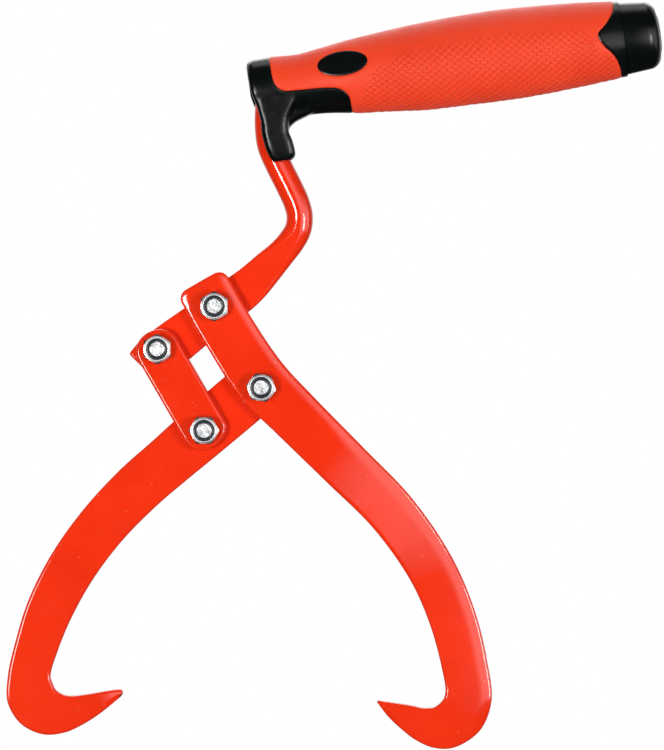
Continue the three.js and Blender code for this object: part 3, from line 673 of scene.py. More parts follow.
def lattice_zone(thing):
    spots, out, _ = skin_points(thing)
    share = (spots[:, 0] - GRIP_FRONT) / GRIP_LENGTH
    height = spots[:, 2] / GRIP_RADIUS
    line = curve_at(ZONE_TOP, np.linspace(0, 1, 80))
    below_roof = height < np.interp(share, line[:, 0], line[:, 1], left=-9, right=-9)
    behind_front = share > np.interp(height, ZONE_FRONT[:, 0], ZONE_FRONT[:, 1])
    rear = curve_at(REAR_EDGE, np.linspace(0, 1, 120))
    before_rear = share < np.interp(height, rear[:, 1], rear[:, 0]) - 0.007
    inside = np.where(height > ZONE_FRONT[-1][0], below_roof, behind_front) & before_rear
    return (inside & (out > 0.96)).astype(np.float32)


zone_values = lattice_zone(cover)
cover.data.attributes.new("lattice_zone", "FLOAT", "POINT").data.foreach_set("value", zone_values)
to_world(cover)
print("share of the cover's points in the lattice:", round(float(zone_values.mean()), 3))

# %% [markdown]
# Geometry Nodes place the pillows. Rays are cast inward at the cover from rows round the grip's axis,
# every second row shifted by half a cell, which gives the diamonds. The rows slant a little as they
# run to the rear, alike on both sides, and meet in a parting line below. Where a ray hits outside the
# zone, its point is deleted. On each point that is left stands a low four-sided pillow, turned to the
# skin and as wide as the rows are apart there. All sizes are inputs, so the tree suits another grip.


# %% Node helpers
def new_tree(name, inputs):
    tree = bpy.data.node_groups.new(name, "GeometryNodeTree")
    for label, kind in inputs:
        tree.interface.new_socket(name=label, in_out="INPUT", socket_type="NodeSocket" + kind)
    tree.interface.new_socket(name="Geometry", in_out="OUTPUT", socket_type="NodeSocketGeometry")
    return tree


def feed(made, links):
    """Link or set a node's inputs, by name or number."""
    for key, value in links.items():
        socket = made.inputs[key]
        if isinstance(value, bpy.types.NodeSocket):
            made.id_data.links.new(value, socket)
        else:
            socket.default_value = value


def node(tree, kind, links=None, **settings):
    """A node with its settings, and its inputs linked or set."""
    made = tree.nodes.new(kind)
    for key, value in settings.items():
        setattr(made, key, value)
    feed(made, links or {})
    return made


def calc(operation, a, b=0.0):
    """The result of a sum, in the tree that its values belong to."""
    tree = (a if isinstance(a, bpy.types.NodeSocket) else b).id_data
    return node(tree, "ShaderNodeMath", {0: a, 1: b}, operation=operation).outputs[0]


def plus(a, b):
    return calc("ADD", a, b)


def minus(a, b):
    return calc("SUBTRACT", a, b)


def times(a, *others):
    for other in others:
        a = calc("MULTIPLY", a, other)
    return a


def set_inputs(modifier, values):
    """Set a modifier's inputs by the identifiers of its tree's sockets."""
    for item in modifier.node_group.interface.items_tree:
        if item.in_out == "INPUT" and item.name in values:
            modifier[item.identifier] = values[item.name]


def join_and_finish(tree, start, added):
    """Make copies real, join them to what came in, and give all of it the finish."""
    real = node(tree, "GeometryNodeRealizeInstances", {"Geometry": added}).outputs[0]
    joined = node(tree, "GeometryNodeJoinGeometry")
    tree.links.new(real, joined.inputs[0])
    tree.links.new(start["Geometry"], joined.inputs[0])
    dressed = node(tree, "GeometryNodeSetMaterial", {
        "Geometry": joined.outputs[0], "Material": start["Finish"],
    }).outputs[0]
    tree.links.new(dressed, node(tree, "NodeGroupOutput").inputs[0])
    return tree


# %% Lattice tree
def lattice_tree():
    tree = new_tree("Grip lattice", [
        ("Geometry", "Geometry"), ("Start", "Float"), ("Cell Length", "Float"), ("Columns", "Int"),
        ("Rows Around", "Int"), ("Slant", "Float"), ("Mean Radius", "Float"), ("Groove", "Float"),
        ("Rise", "Float"), ("Tilt", "Float"), ("Finish", "Material"),
    ])
    start = node(tree, "NodeGroupInput").outputs
    count = times(start["Columns"], start["Rows Around"])
    points = node(tree, "GeometryNodePoints", {"Count": count}).outputs[0]
    index = node(tree, "GeometryNodeInputIndex").outputs[0]
    column = calc("FLOOR", calc("DIVIDE", index, start["Rows Around"]))
    half_rows = times(start["Rows Around"], 0.5)
    place = calc("MODULO", index, start["Rows Around"])
    row = calc("MODULO", place, half_rows)
    hand = minus(times(calc("LESS_THAN", place, half_rows), 2.0), 1.0)

    run = times(column, times(start["Cell Length"], 0.5))
    along = plus(start["Start"], run)
    step = calc("DIVIDE", math.pi, half_rows)
    twist = calc("DIVIDE", times(run, start["Slant"]), start["Mean Radius"])
    fall = calc("MODULO", plus(times(row, step), twist), math.pi)
    turn = times(fall, hand)
    sine, cosine = calc("SINE", turn), calc("COSINE", turn)
    tilt = node(tree, "ShaderNodeCombineXYZ", {1: times(start["Tilt"], -1.0)}).outputs[0]

    def tilted(vector):
        return node(
            tree, "ShaderNodeVectorRotate", {"Vector": vector, "Rotation": tilt}, rotation_type="EULER_XYZ",
        ).outputs[0]

    def scaled(vector, by):
        return node(tree, "ShaderNodeVectorMath", {0: vector, "Scale": by}, operation="SCALE").outputs[0]

    def noted(label, kind="FLOAT"):
        return node(
            tree, "GeometryNodeInputNamedAttribute", {"Name": label}, data_type=kind,
        ).outputs[0]

    stand_off = 0.04
    out = node(tree, "ShaderNodeCombineXYZ", {1: sine, 2: cosine}).outputs[0]
    axis_spot = node(tree, "ShaderNodeCombineXYZ", {0: along}).outputs[0]
    source = node(tree, "ShaderNodeVectorMath", {0: axis_spot, 1: scaled(out, stand_off)}).outputs[0]
    ray = node(tree, "GeometryNodeRaycast", {
        "Target Geometry": start["Geometry"], "Attribute": noted("lattice_zone"),
        "Source Position": tilted(source), "Ray Direction": tilted(scaled(out, -1.0)), "Ray Length": 0.06,
    }, data_type="FLOAT").outputs

    odd = calc("MODULO", plus(column, row), 2.0)
    parting = minus(math.pi, times(step, 0.98))
    keep = times(
        calc("LESS_THAN", odd, 0.5), calc("GREATER_THAN", ray["Attribute"], 0.98), ray["Is Hit"],
        calc("LESS_THAN", fall, parting),
    )
    slope = times(hand, start["Slant"])
    lengthways = tilted(node(tree, "ShaderNodeCombineXYZ", {
        0: 1.0, 1: times(slope, cosine), 2: times(slope, sine, -1.0),
    }).outputs[0])
    reach = minus(stand_off, ray["Hit Distance"])
    notes = (
        ("skin_normal", "FLOAT_VECTOR", ray["Hit Normal"]), ("lengthways", "FLOAT_VECTOR", lengthways),
        ("reach", "FLOAT", reach),
    )
    for label, kind, value in notes:
        points = node(tree, "GeometryNodeStoreNamedAttribute", {
            "Geometry": points, "Name": label, "Value": value,
        }, data_type=kind).outputs[0]
    moved = node(tree, "GeometryNodeSetPosition", {
        "Geometry": points, "Position": ray["Hit Position"],
    }).outputs[0]
    kept = node(tree, "GeometryNodeSeparateGeometry", {"Geometry": moved, "Selection": keep}).outputs[0]

    skin_normal, lengthways, reach = (noted(label, kind) for label, kind, _ in notes)
    upright = node(tree, "FunctionNodeAlignRotationToVector", {"Vector": skin_normal}, axis="Z").outputs[0]
    facing = node(
        tree, "FunctionNodeAlignRotationToVector", {"Rotation": upright, "Vector": lengthways},
        axis="X", pivot_axis="Z",
    ).outputs[0]
    pillow = node(tree, "GeometryNodeMeshCone", {
        "Vertices": 4, "Side Segments": 1, "Fill Segments": 1, "Radius Top": 0.91, "Radius Bottom": 1.0,
        "Depth": 1.0,
    }).outputs[0]
    half_long = minus(times(start["Cell Length"], 0.5), start["Groove"])
    half_wide = minus(times(reach, step), start["Groove"])
    size = node(tree, "ShaderNodeCombineXYZ", {0: half_long, 1: half_wide, 2: start["Rise"]}).outputs[0]
    pillow = node(tree, "GeometryNodeSetShadeSmooth", {"Geometry": pillow}).outputs[0]
    return join_and_finish(tree, start, node(tree, "GeometryNodeInstanceOnPoints", {
        "Points": kept, "Instance": pillow, "Rotation": facing, "Scale": size,
    }).outputs[0])


# %% [markdown]
# Finishes. Every finish is made of noise and shader nodes on Object coordinates, in metres, so a
# scale of 500 means detail about 2 mm wide. The enamel is one hard glossy coat over ground steel: it
# levels out well, but keeps a faint orange peel, a slow waviness and a few specks of dust.


# %% Material helpers
def new_finish(name):
    """A material, its shader, and the Object coordinates that its detail hangs on."""
    finish = bpy.data.materials.new(name)
    finish.use_nodes = True
    tree = finish.node_tree
    tree.nodes.clear()
    shader = tree.nodes.new("ShaderNodeBsdfPrincipled")
    tree.links.new(shader.outputs[0], tree.nodes.new("ShaderNodeOutputMaterial").inputs[0])
    return finish, shader, tree.nodes.new("ShaderNodeTexCoord").outputs["Object"]


def noise(place, scale, detail=2.0, rough=0.5, stretch=None):
    if stretch:
        place = node(place.id_data, "ShaderNodeMapping", {"Vector": place, "Scale": stretch}).outputs[0]
    return node(place.id_data, "ShaderNodeTexNoise", {
        "Vector": place, "Scale": scale, "Detail": detail, "Roughness": rough,
    }).outputs[0]


def two_tones(value, first, second, margin=0.3):
    """One colour up to the margin and the other from as far below one, blended between."""
    made = node(value.id_data, "ShaderNodeValToRGB", {0: value})
    stops = ((margin, first), (1 - margin, second))
    for element, (spot, colour) in zip(made.color_ramp.elements, stops):
        element.position = spot
        element.color = (*colour, 1)
    return made.outputs[0]


def blend_colours(amount, *colours):
    mixed = node(amount.id_data, "ShaderNodeMix", {0: amount}, data_type="RGBA")
    for slot, colour in zip((6, 7), colours):
        feed(mixed, {slot: colour if isinstance(colour, bpy.types.NodeSocket) else (*colour, 1)})
    return mixed.outputs[2]


def spread(value, low, high, to_low=0.0, to_high=1.0):
    return node(value.id_data, "ShaderNodeMapRange", {
        0: value, 1: low, 2: high, 3: to_low, 4: to_high,
    }).outputs[0]


def bumps(*layers):
    """Stack bumps from (height, strength, depth in mm), coarse ones first."""
    below = {}
    for height, strength, depth in layers:
        made = node(height.id_data, "ShaderNodeBump", {
            "Height": height, "Strength": strength, "Distance": depth * 0.001, **below,
        })
        below = {"Normal": made.outputs[0]}
    return made.outputs[0]


# %% Red enamel
def red_enamel(name, tip=None, tip_reach=0.0):
    """Glossy red. At the tip of a beak the coat is worn to dark steel."""
    finish, shader, place = new_finish(name)
    colour = two_tones(noise(place, 38, 3), (0.86, 0.029, 0.004), (0.95, 0.036, 0.006), 0.32)
    specks = times(spread(noise(place, 1150, 1), 0.765, 0.79), spread(noise(place, 90), 0.5, 0.58))
    colour = blend_colours(specks, colour, (0.93, 0.42, 0.33))
    scratch = noise(place, 240, 2, 0.6, stretch=(1.0, 1.0, 14.0))
    scratches = times(spread(scratch, 0.70, 0.73), spread(noise(place, 30, 1), 0.55, 0.62), 0.5)
    colour = blend_colours(scratches, colour, (0.95, 0.25, 0.18))
    rough = spread(noise(place, 120, 4), 0.3, 0.7, 0.07, 0.12)
    if tip is not None:
        spot = (tip[0] * 0.001, 0, tip[1] * 0.001)
        away = node(place.id_data, "ShaderNodeVectorMath", {0: place, 1: spot}, operation="DISTANCE")
        ragged = plus(away.outputs["Value"], times(noise(place, 700, 3), 0.0012))
        worn = spread(ragged, (tip_reach + 0.9) * 0.001, (tip_reach + 0.5) * 0.001)
        colour = blend_colours(worn, colour, (0.035, 0.022, 0.018))
        rough = plus(rough, times(worn, 0.25))
    normal = bumps((noise(place, 55, 1), 0.1, 0.5), (noise(place, 300, 1), 0.02, 0.06), (specks, 0.3, 0.05))
    feed(shader, {
        "Base Color": colour, "Roughness": rough, "Coat Weight": 0.3, "Coat Roughness": 0.04,
        "Coat Normal": normal, "Normal": normal,
    })
    return finish


enamel = red_enamel("red_enamel")
left_tip = left_rows[-2][1]
right_tip = (right_rows[-1][0] + right_rows[-1][1]) / 2
enamel_left = red_enamel("red_enamel_left_arm", left_tip, 1.3)
enamel_right = red_enamel("red_enamel_right_arm", right_tip, 0.5)
print("enamels:", [m.name for m in (enamel, enamel_left, enamel_right)])

# %% [markdown]
# The cover is a soft elastomer: it is matt, but lights up at grazing angles, which a little sheen
# gives. The black parts are hard moulded plastic with a fine spark-eroded grain. Bright zinc is a thin
# plated layer, which keeps the fine turning marks of the steel below. The locking ring is dark nylon.
# All of these have two tones, an uneven roughness and one or two grains, so one function makes them.


# %% Cover, plastic, zinc and nylon
def grained(name, tones, rough, grains, others, lint=None):
    """Tones: scale, detail and two colours. Rough: scale, detail and range. Grains: scale to depth."""
    finish, shader, place = new_finish(name)
    colour = two_tones(noise(place, *tones[:2]), *tones[2:])
    if lint:
        flecks = times(spread(noise(place, 1300, 1), 0.78, 0.81), spread(noise(place, 70), 0.5, 0.6), 0.7)
        colour = blend_colours(flecks, colour, lint)
    feed(shader, {
        "Base Color": colour,
        "Roughness": spread(noise(place, *rough[:2]), 0.3, 0.7, *rough[2:]),
        "Normal": bumps(*((noise(place, size, detail), *bump) for size, detail, *bump in grains)),
        **others,
    })
    return finish


def bright_zinc(name, smoothest, roughest, grain, dull):
    return grained(
        name, (420, 4, (dull, dull * 1.03, dull * 1.06), (0.86, 0.87, 0.87)), (600, 4, smoothest, roughest),
        [(1100, 3, grain, 0.08), (3000, 2, 0.2, 0.02)], {"Metallic": 1.0},
    )


coral = grained(
    "soft_coral", (45, 3, (0.86, 0.044, 0.006), (0.94, 0.057, 0.010)), (160, 3, 0.44, 0.56),
    [(130, 2, 0.15, 0.2), (2600, 2, 0.18, 0.02)],
    {"Specular IOR Level": 0.35, "Sheen Weight": 0.05, "Sheen Roughness": 0.5}, lint=(0.95, 0.5, 0.42),
)
black = grained(
    "black_plastic", (60, 2, (0.0015, 0.0024, 0.0024), (0.003, 0.0045, 0.0045)), (220, 4, 0.21, 0.29),
    [(90, 2, 0.12, 0.2), (4200, 1, 0.5, 0.02)], {"Specular IOR Level": 0.32},
)
zinc = bright_zinc("bright_zinc", 0.22, 0.30, 0.2, 0.56)
# The lip's zinc is rougher and also paler than the nut's: the paler tone is a painted highlight.
lip_zinc_painted_bright = bright_zinc("lip_zinc_painted_bright", 0.46, 0.58, 0.2, 0.74)
bolt_zinc = bright_zinc("bolt_zinc", 0.28, 0.46, 2.0, 0.34)
nylon = grained(
    "dark_nylon", (500, 2, (0.006, 0.012, 0.016), (0.018, 0.032, 0.042)), (900, 2, 0.25, 0.4),
    [(1200, 2, 0.3, 0.04)], {},
)
print("grained finishes:", [m.name for m in (coral, black, zinc, lip_zinc_painted_bright, bolt_zinc, nylon)])


def dress(thing, finish, body, node_name):
    """Give a finished piece its material and its body, and hide the CAD part that it stands for."""
    thing.data.materials.clear()
    thing.data.materials.append(finish)
    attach(thing, body)
    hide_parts(node_name)
    print(f"{thing.name}: {len(thing.data.polygons)} faces on {body}")


# %% Lattice on the cover
modifier = cover.modifiers.new("lattice", "NODES")
modifier.node_group = lattice_tree()
set_inputs(modifier, {
    "Start": (GRIP_FRONT + GRIP_LENGTH * 0.2) * 0.001, "Cell Length": 0.00312, "Columns": 76,
    "Rows Around": 72, "Slant": math.tan(math.radians(6.5)), "Mean Radius": 0.0162,
    "Groove": 0.00005, "Rise": 0.0001, "Tilt": math.radians(GRIP_TILT), "Finish": coral,
})
shade(cover)
before = len(cover.data.polygons)
settle(cover)
print("pillows:", (len(cover.data.polygons) - before) // 6)
dress(cover, coral, "handle", "grip_cover")

# %% [markdown]
# The hard core is one moulding: a nose round the rod's neck, a finger guard that flows into the grip,
# and a sleeve at the rear. Sharp joins between its forms would look like glued blocks, so its forms
# are joined and cut first, then voxel remeshed, and the new skin is smoothed into fillets. Its flat
# rear end is cut last, so it stays crisp. The oval that shows through the cover is slightly dished.

# %% Hard core
GUARD = np.array([
    [0.0, 0.05, 0.667, 1.15], [0.09, 0.05, 0.667, 1.145], [0.16, 0.05, 0.667, 1.13],
    [0.30, 0.06, 0.585, 1.10], [0.39, 0.075, 0.53, 1.08], [0.45, 0.083, 0.497, 1.06],
    [0.51, 0.087, 0.476, 1.045], [0.59, 0.083, 0.463, 1.02], [0.64, 0.083, 0.461, 1.0],
    [0.74, 0.093, 0.490, 0.98], [0.79, 0.100, 0.498, 0.97], [0.91, 0.128, 0.512, 0.92],
    [0.98, 0.150, 0.500, 0.87], [1.03, 0.180, 0.440, 0.82],
])
WEB = np.array([
    [0.16, 0.3, 0.95, 0.80], [0.30, 0.3, 0.96, 0.78], [0.39, 0.3, 0.89, 0.74], [0.45, 0.3, 0.745, 0.70],
    [0.51, 0.3, 0.575, 0.68], [0.56, 0.3, 0.500, 0.66], [0.62, 0.3, 0.44, 0.64],
])


def hanging_form(name, rows, rounding):
    """A form that hangs below the grip: its front and rear edges and depth at each place down."""
    height, half_depth = 27.5, 8.8
    rings = []
    for down_share, front, rear, depth in curve_at(rows, np.linspace(0, 1, 90)):
        near_x, far_x = GRIP_FRONT + front * height, GRIP_FRONT + rear * height
        section = bar_section((far_x - near_x) / 2, half_depth * depth, rounding)
        rings.append([((near_x + far_x) / 2 + a, d, -down_share * height) for a, d in section])
    return loft(name, rings)


core = barrel("hard_core", 0.0, 205, 128, 3.0)
carve(core, hanging_form("guard", GUARD, 2.4), "UNION")
carve(core, hanging_form("web", WEB, 3.0), "UNION")
LEAN = grip_points(np.array([[0, 0.25], [0.0035, -0.05], [0.0125, -0.4], [0.0165, -0.66], [0.0165, -0.8]]))
reach = ROD_DIAMETER / 2 + GAP
for near, far, ahead in ((-40, reach, 0.0), (reach - 0.01, 40, 0.8)):
    lean_outline = [*LEAN, (GRIP_FRONT - 4, LEAN[-1][1]), (GRIP_FRONT - 4, LEAN[0][1])]
    carve(core, prism([(x - ahead, z) for x, z in lean_outline], near, far))

# %% Slot for the rod's neck, bore for its tang, then fillets
neck_place, neck_side, _, _ = rod_at(np.linspace(0, 1, 600))
back = math.radians(GRIP_TILT)
turn_back = np.array([[math.cos(back), math.sin(back)], [-math.sin(back), math.cos(back)]])
slot_foot = -29.5
slot_side = [
    p for p in (neck_place + neck_side * reach) @ turn_back.T
    if p[0] < bend_start + 2 and slot_foot < p[1] < 0
]
slot_outline = [(GRIP_FRONT - 2, reach), (bend_start, reach), *slot_side,
                (slot_side[-1][0], slot_foot), (GRIP_FRONT - 2, slot_foot)]
carve(core, prism(slot_outline, -reach, reach))
bore = [
    [(x, reach * math.sin(t), reach * math.cos(t)) for t in full_turn(48)]
    for x in (bend_start, SEAM + 5)
]
carve(core, loft("bore", bore))
soften = core.modifiers.new("skin", "REMESH")
soften.mode = "VOXEL"
soften.voxel_size = 0.00048
relax = core.modifiers.new("fillets", "SMOOTH")
relax.factor = 0.5
relax.iterations = 16
settle(core)
carve(core, prism([(SEAM, -30), (SEAM + 6, -30), (SEAM + 6, 30), (SEAM, 30)]))
print("core skin faces:", len(core.data.polygons))

# %% Room for the cover, and the dished oval
room = barrel("room", -2.0, 60, 64)
carve(room, barrel("inner_core", COVER_WALL + GAP, 60, 64))
carve(room, prism(cover_outline(0.03)), "INTERSECT")
carve(room, prism(window_outline(-0.03)))
carve(core, room)
roll_edges(core, moulded_edges, 0.8, 0.3)


def dish(spots):
    x, z, half_long, half_high = WINDOW
    inside = 1 - ((spots[:, 0] - x) / half_long) ** 2 - ((spots[:, 2] - z) / half_high) ** 2
    return 0.5 * np.clip(inside, 0, 1)


draw_in(core, dish)
to_world(core)
shade(core)
dress(core, black, "handle", "grip_core")

# %% [markdown]
# The cap closes the rear of the sleeve. It is turned on the grip's axis, narrowed across as the grip
# is, and its rear corner is a generous radius.

# %% End cap
cap_radius = GRIP_RADIUS * 0.795
cap_end = GRIP_LENGTH * 0.092
corner, dome = 4.8, 0.8
profile = [(cap_radius - 0.12, 0.1), (cap_radius - 0.03, 0.13), (cap_radius, 0.22)]
for turn in np.linspace(0, math.pi / 2, 12):
    profile.append((
        cap_radius * 0.94 - corner * (1 - math.cos(turn)), cap_end - dome - corner * (1 - math.sin(turn)),
    ))
profile += [(cap_radius * 0.94 * k, cap_end - dome * k * k) for k in (0.5, 0.35, 0.2, 0.08)]
turns = full_turn(96)
cap = loft("end_cap_dome", [
    [(SEAM + along, NARROWED * r * math.sin(t), GRIP_RADIUS * 0.023 + r * math.cos(t)) for t in turns]
    for r, along in profile
])
spigot = [
    [(SEAM + x, SPIGOT_RADIUS * math.sin(t), SPIGOT_RADIUS * math.cos(t)) for t in turns]
    for x in (-SPIGOT_LENGTH, 6.0)
]
carve(cap, loft("spigot", spigot), "UNION")
to_world(cap)
shade(cap, 30)
dress(cap, black, "handle", "end_cap")

# %% Dress the bars
for piece, finish, body, cad in (
    (handle_rod, enamel, "handle", "handle_rod"), (arm_right, enamel_right, "right_arm", "arm_right"),
    (arm_left, enamel_left, "left_arm", "arm_left"), (link_front, enamel, "links", "link_front"),
    (link_rear, enamel, "links", "link_rear"),
):
    shade(piece)
    dress(piece, finish, body, cad)

# %% [markdown]
# Each pivot has an M6 bolt with a hexagon head at the back and a self-locking nut at the front. The
# nut's hexagon is chamfered by intersecting it with a turned shape, as a nut is in the lathe, and a
# round collar in front of it holds the nylon ring. The collar's lip was rolled over the ring after the
# plating, so it is duller, and catches light from more sides. Its zinc is also given a paler tone than
# the nut's, a painted highlight that makes the lip read as a bright ring. The four sets differ in place
# and turn.


# %% Fastener shapes
NUT_HEIGHT, NUT_HEXAGON, HEAD_HEIGHT, BOLT_PAST = 6.0, 4.4, 4.0, 6.5


def hexagon_bar(name, centre, near, far, turned_by):
    corner, round_off = ACROSS_FLATS / math.sqrt(3), 0.35
    outline = []
    for k in range(6):
        middle = math.radians(90 - turned_by + 60 * k)
        for step in range(6):
            turn = middle + math.radians(-30 + 60 * step / 5)
            hub = corner - round_off / math.cos(math.radians(30))
            outline.append((
                centre[0] + hub * math.cos(middle) + round_off * math.cos(turn),
                centre[1] + hub * math.sin(middle) + round_off * math.sin(turn),
            ))
    bar = prism(outline, near, far)
    bar.name = name
    return bar


def chamfered_hexagon(name, centre, near, far, turned_by, near_cut=True):
    """The far face is always chamfered, and the near one if it isn't hidden."""
    corner = ACROSS_FLATS / math.sqrt(3) + 0.3
    rim, drop = ACROSS_FLATS / 2 * 0.98, 0.6
    profile = [(corner, near)]
    if near_cut:
        profile = [(rim, near), (rim + 0.12, near + 0.02), (corner, near + drop)]
    profile += [(corner, far - drop), (rim + 0.12, far - 0.02), (rim, far)]
    bar = hexagon_bar(name, centre, near, far, turned_by)
    return carve(bar, turned("lathe", profile, centre), "INTERSECT")


def nut_piece(name, centre, seat, turned_by):
    front = seat - NUT_HEIGHT
    piece = drill(chamfered_hexagon(name, centre, seat - NUT_HEXAGON, seat, turned_by), centre)
    lip = [
        (4.33 + 0.35 * math.cos(t), front + 0.35 - 0.35 * math.sin(t)) for t in np.linspace(0, math.pi, 17)
    ]
    profile = [*lip, (3.98, seat - 2.4), (4.75, seat - 2.4), (4.75, front + 1.5)]
    return carve(piece, turned("collar", profile, centre, 96, closed=True), "UNION")


def bolt_piece(name, centre, head_seat, nut_seat, turned_by):
    end = nut_seat - BOLT_PAST
    piece = chamfered_hexagon(name, centre, head_seat, head_seat + HEAD_HEIGHT, turned_by, near_cut=False)
    shank = turned("shank", [
        (2.64, end), (2.72, end + 0.04), (2.98, end + 0.3), (3.0, end + 0.5), (3.0, head_seat + 2.0),
    ], centre)
    return carve(piece, shank, "UNION")


# %% [markdown]
# The thread's last turns show round each bolt's end. A spiral curve with a small pointed section
# makes them in Geometry Nodes, with the pitch and the number of turns as inputs.


# %% Thread tree
def thread_tree():
    tree = new_tree("Bolt thread", [
        ("Geometry", "Geometry"), ("Turns", "Float"), ("Pitch", "Float"), ("Radius", "Float"),
        ("Crest", "Float"), ("Start", "Vector"), ("Finish", "Material"),
    ])
    start = node(tree, "NodeGroupInput").outputs
    spiral = node(tree, "GeometryNodeCurveSpiral", {
        "Resolution": 40, "Rotations": start["Turns"], "Start Radius": start["Radius"],
        "End Radius": start["Radius"], "Height": times(start["Turns"], start["Pitch"]),
    }).outputs[0]
    section = node(tree, "GeometryNodeCurvePrimitiveCircle", {
        "Resolution": 4, "Radius": start["Crest"],
    }).outputs[0]
    ridge = node(tree, "GeometryNodeCurveToMesh", {
        "Curve": spiral, "Profile Curve": section, "Fill Caps": True,
    }).outputs[0]
    return join_and_finish(tree, start, node(tree, "GeometryNodeTransform", {
        "Geometry": ridge, "Translation": start["Start"], "Rotation": (-math.pi / 2, 0, 0),
    }).outputs[0])


thread = thread_tree()

# %% Bolts, nuts and locking rings
arm_stack = (-front_face, front_face - ARM_THICK - GAP)
link_stack = (-front_face + LINK_THICK + GAP, front_face - LINK_THICK - GAP)
for label, centre, (head_seat, nut_seat), turned_by, body in (
    ("main", main_pivot, arm_stack, 0, "handle"), ("link", link_pivot, link_stack, 0, "handle"),
    ("jaw", jaw_pivot, arm_stack, 40, "right_arm"), ("foot", foot_pivot, link_stack, 30, "links"),
):
    bolt = bolt_piece(f"bolt_{label}_piece", centre, head_seat, nut_seat, turned_by)
    shade(bolt, 17)
    turns_shown = bolt.modifiers.new("thread", "NODES")
    turns_shown.node_group = thread
    set_inputs(turns_shown, {
        "Turns": 2.4, "Pitch": 0.001, "Radius": 0.00289, "Crest": 0.00012, "Finish": bolt_zinc,
        "Start": (centre[0] * 0.001, (nut_seat - 5.95) * 0.001, centre[1] * 0.001),
    })
    settle(bolt)
    dress(bolt, bolt_zinc, body, f"bolt_{label}")
    nut = shade(nut_piece(f"nut_{label}_piece", centre, nut_seat, turned_by), 17)
    dress(nut, zinc, body, f"nut_{label}")
    # The collar's lip faces get the paler zinc, a painted highlight on the lip.
    nut.data.materials.append(lip_zinc_painted_bright)
    for face in nut.data.polygons:
        if face.center.y * 1000 < nut_seat - 5.2:
            face.material_index = 1
    front = nut_seat - NUT_HEIGHT
    ring = turned(f"locking_ring_{label}", [
        (3.03, front + 0.45), (3.2, front + 0.2), (3.5, front + 0.12), (3.8, front + 0.2),
        (3.98, front + 0.5), (3.98, front + 1.6), (3.03, front + 1.6),
    ], centre, 96, closed=True)
    dress(shade(ring), nylon, body, f"nylon_ring_{label}")

# %% [markdown]
# The stage is a round table in a white surround. It lies 60 mm below the claws, because they swing
# lower than this as they close. The camera sees both as plain white, and the table keeps the shadow.
# In reflections the surround is bright behind the tongs, where it draws a soft haze along round edges,
# and in a soft patch at the right, which lightens what is turned that way. Faces turned to the viewer
# keep their own deep colour.


# %% Table
def white_table(name):
    finish, shader, place = new_finish(name)
    rays = shader.id_data.nodes.new("ShaderNodeLightPath").outputs
    colour = two_tones(noise(place, 3), [0.52] * 3, [0.56] * 3)
    colour = blend_colours(rays["Is Glossy Ray"], colour, [0.02] * 3)
    seen = rays["Is Camera Ray"]
    feed(shader, {
        "Base Color": blend_colours(seen, colour, [0.30] * 3),
        "Emission Color": blend_colours(seen, [0] * 3, [0.78] * 3),
        "Emission Strength": 1.0, "Roughness": 0.9, "Specular IOR Level": 0.1,
    })
    return finish


middle = Vector([(low + high) / 2 for low, high in zip(*cad_box)])
table_top = cad_box[0][2] * 1000 - 60
table_radius = 800
rim = [
    (middle.x * 1000 + table_radius * math.cos(t), table_radius * math.sin(t), table_top)
    for t in full_turn(96)
]
table = make_object("round_table", rim, [tuple(range(96))])
table.data.materials.append(white_table("pale_table"))

# %% Surround
world = bpy.data.worlds.new("white_surround")
bpy.context.scene.world = world
world.use_nodes = True
sky = world.node_tree
sky.nodes.clear()
rays = sky.nodes.new("ShaderNodeLightPath").outputs
outwards = sky.nodes.new("ShaderNodeTexCoord").outputs["Generated"]
way = node(sky, "ShaderNodeSeparateXYZ", {0: outwards}).outputs
seen = calc("MAXIMUM", rays["Is Camera Ray"], rays["Is Transmission Ray"])
behind = times(spread(way[1], 0.25, 0.85), spread(way[2], -0.6, 0.4, 0.35, 0.9))
level = spread(calc("ABSOLUTE", way[2]), 0.18, 0.42, 1.0, 0.0)
patch = times(spread(way[0], 0.08, 0.22, 0.0, 2.0), level, calc("LESS_THAN", way[1], 0.0))
shown = times(rays["Is Glossy Ray"], plus(plus(behind, patch), 0.03))
felt = times(minus(1.0, rays["Is Glossy Ray"]), spread(way[2], -0.3, 0.9, 0.14, 0.48))
strength = calc("MAXIMUM", seen, plus(shown, felt))
glow = node(sky, "ShaderNodeBackground", {"Color": (1, 1, 1, 1), "Strength": strength})
sky.links.new(glow.outputs[0], sky.nodes.new("ShaderNodeOutputWorld").inputs[0])

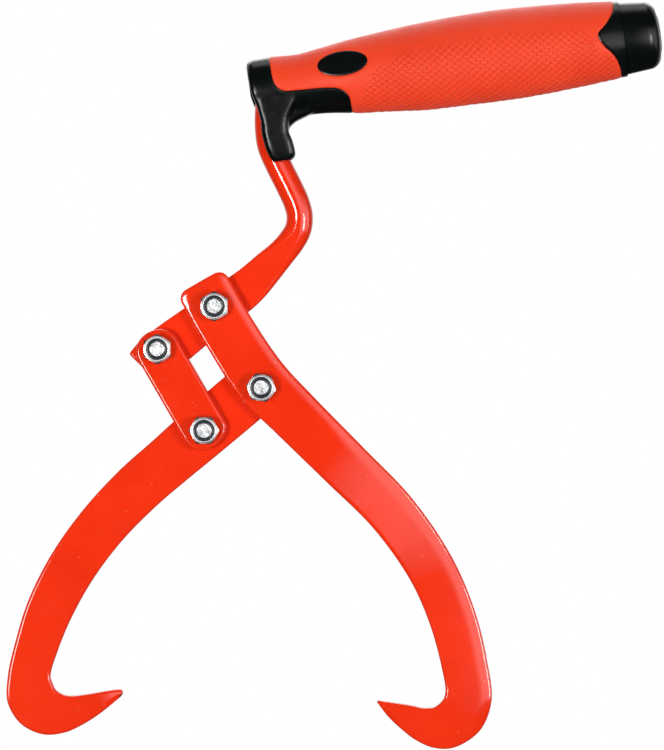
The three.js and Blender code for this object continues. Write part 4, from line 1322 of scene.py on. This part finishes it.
# %% [markdown]
# Two small softboxes stand in front, left and right. They draw the white streaks on the rod, and the
# short shadows on both sides of each plate. Two others light the top and the back. Each is given by
# its direction from the tongs and its brightness, so it can be moved without changing its glow.


# %% Lights
def softbox(name, azimuth, elevation, distance, size, brightness):
    turn, rise = math.radians(azimuth), math.radians(elevation)
    level = math.cos(rise)
    offset = Vector((math.sin(turn) * level, -math.cos(turn) * level, math.sin(rise))) * distance
    light = bpy.data.lights.new(name, "AREA")
    light.shape = "RECTANGLE"
    light.size, light.size_y = size
    light.energy = brightness * math.pi * size[0] * size[1]
    lamp = bpy.data.objects.new(name, light)
    bpy.context.scene.collection.objects.link(lamp)
    lamp.location = middle + offset
    lamp.rotation_euler = (-offset).to_track_quat("-Z", "Y").to_euler()


softbox("left_box", -26, -6, 1.3, (0.30, 0.40), 24)
softbox("right_box", 36, -2, 1.3, (0.28, 0.40), 17)
softbox("top_box", 180, 78, 1.4, (0.9, 0.6), 1.8)
softbox("back_box", 180, 38, 1.5, (1.4, 0.9), 2.2)

# %% [markdown]
# The camera looks straight at the tongs' front from two metres away. It is set for an upright
# frame of 664 by 750, so its field of view is set by the height. One pixel of the photo is 0.38 mm on
# the tongs, and the model's origin, on the grip's axis, lies at pixel 480, 59.4.

# %% Camera
PIXEL, PICTURE, ORIGIN_AT = 0.00038, (664, 750), (480, 59.4)
CAMERA_AWAY, SENSOR = 2.0, 24
lens = bpy.data.cameras.new("front_camera")
lens.sensor_fit = "VERTICAL"
lens.sensor_height = SENSOR
lens.lens = SENSOR * CAMERA_AWAY / (PICTURE[1] * PIXEL)
camera = bpy.data.objects.new("front_camera", lens)
bpy.context.scene.collection.objects.link(camera)
camera.location = (
    (PICTURE[0] / 2 - ORIGIN_AT[0]) * PIXEL, -CAMERA_AWAY, (ORIGIN_AT[1] - PICTURE[1] / 2) * PIXEL,
)
camera.rotation_euler = (math.pi / 2, 0, 0)
bpy.context.scene.camera = camera
bpy.context.scene.view_settings.view_transform = "Standard"
print("lens (mm):", round(lens.lens, 1))
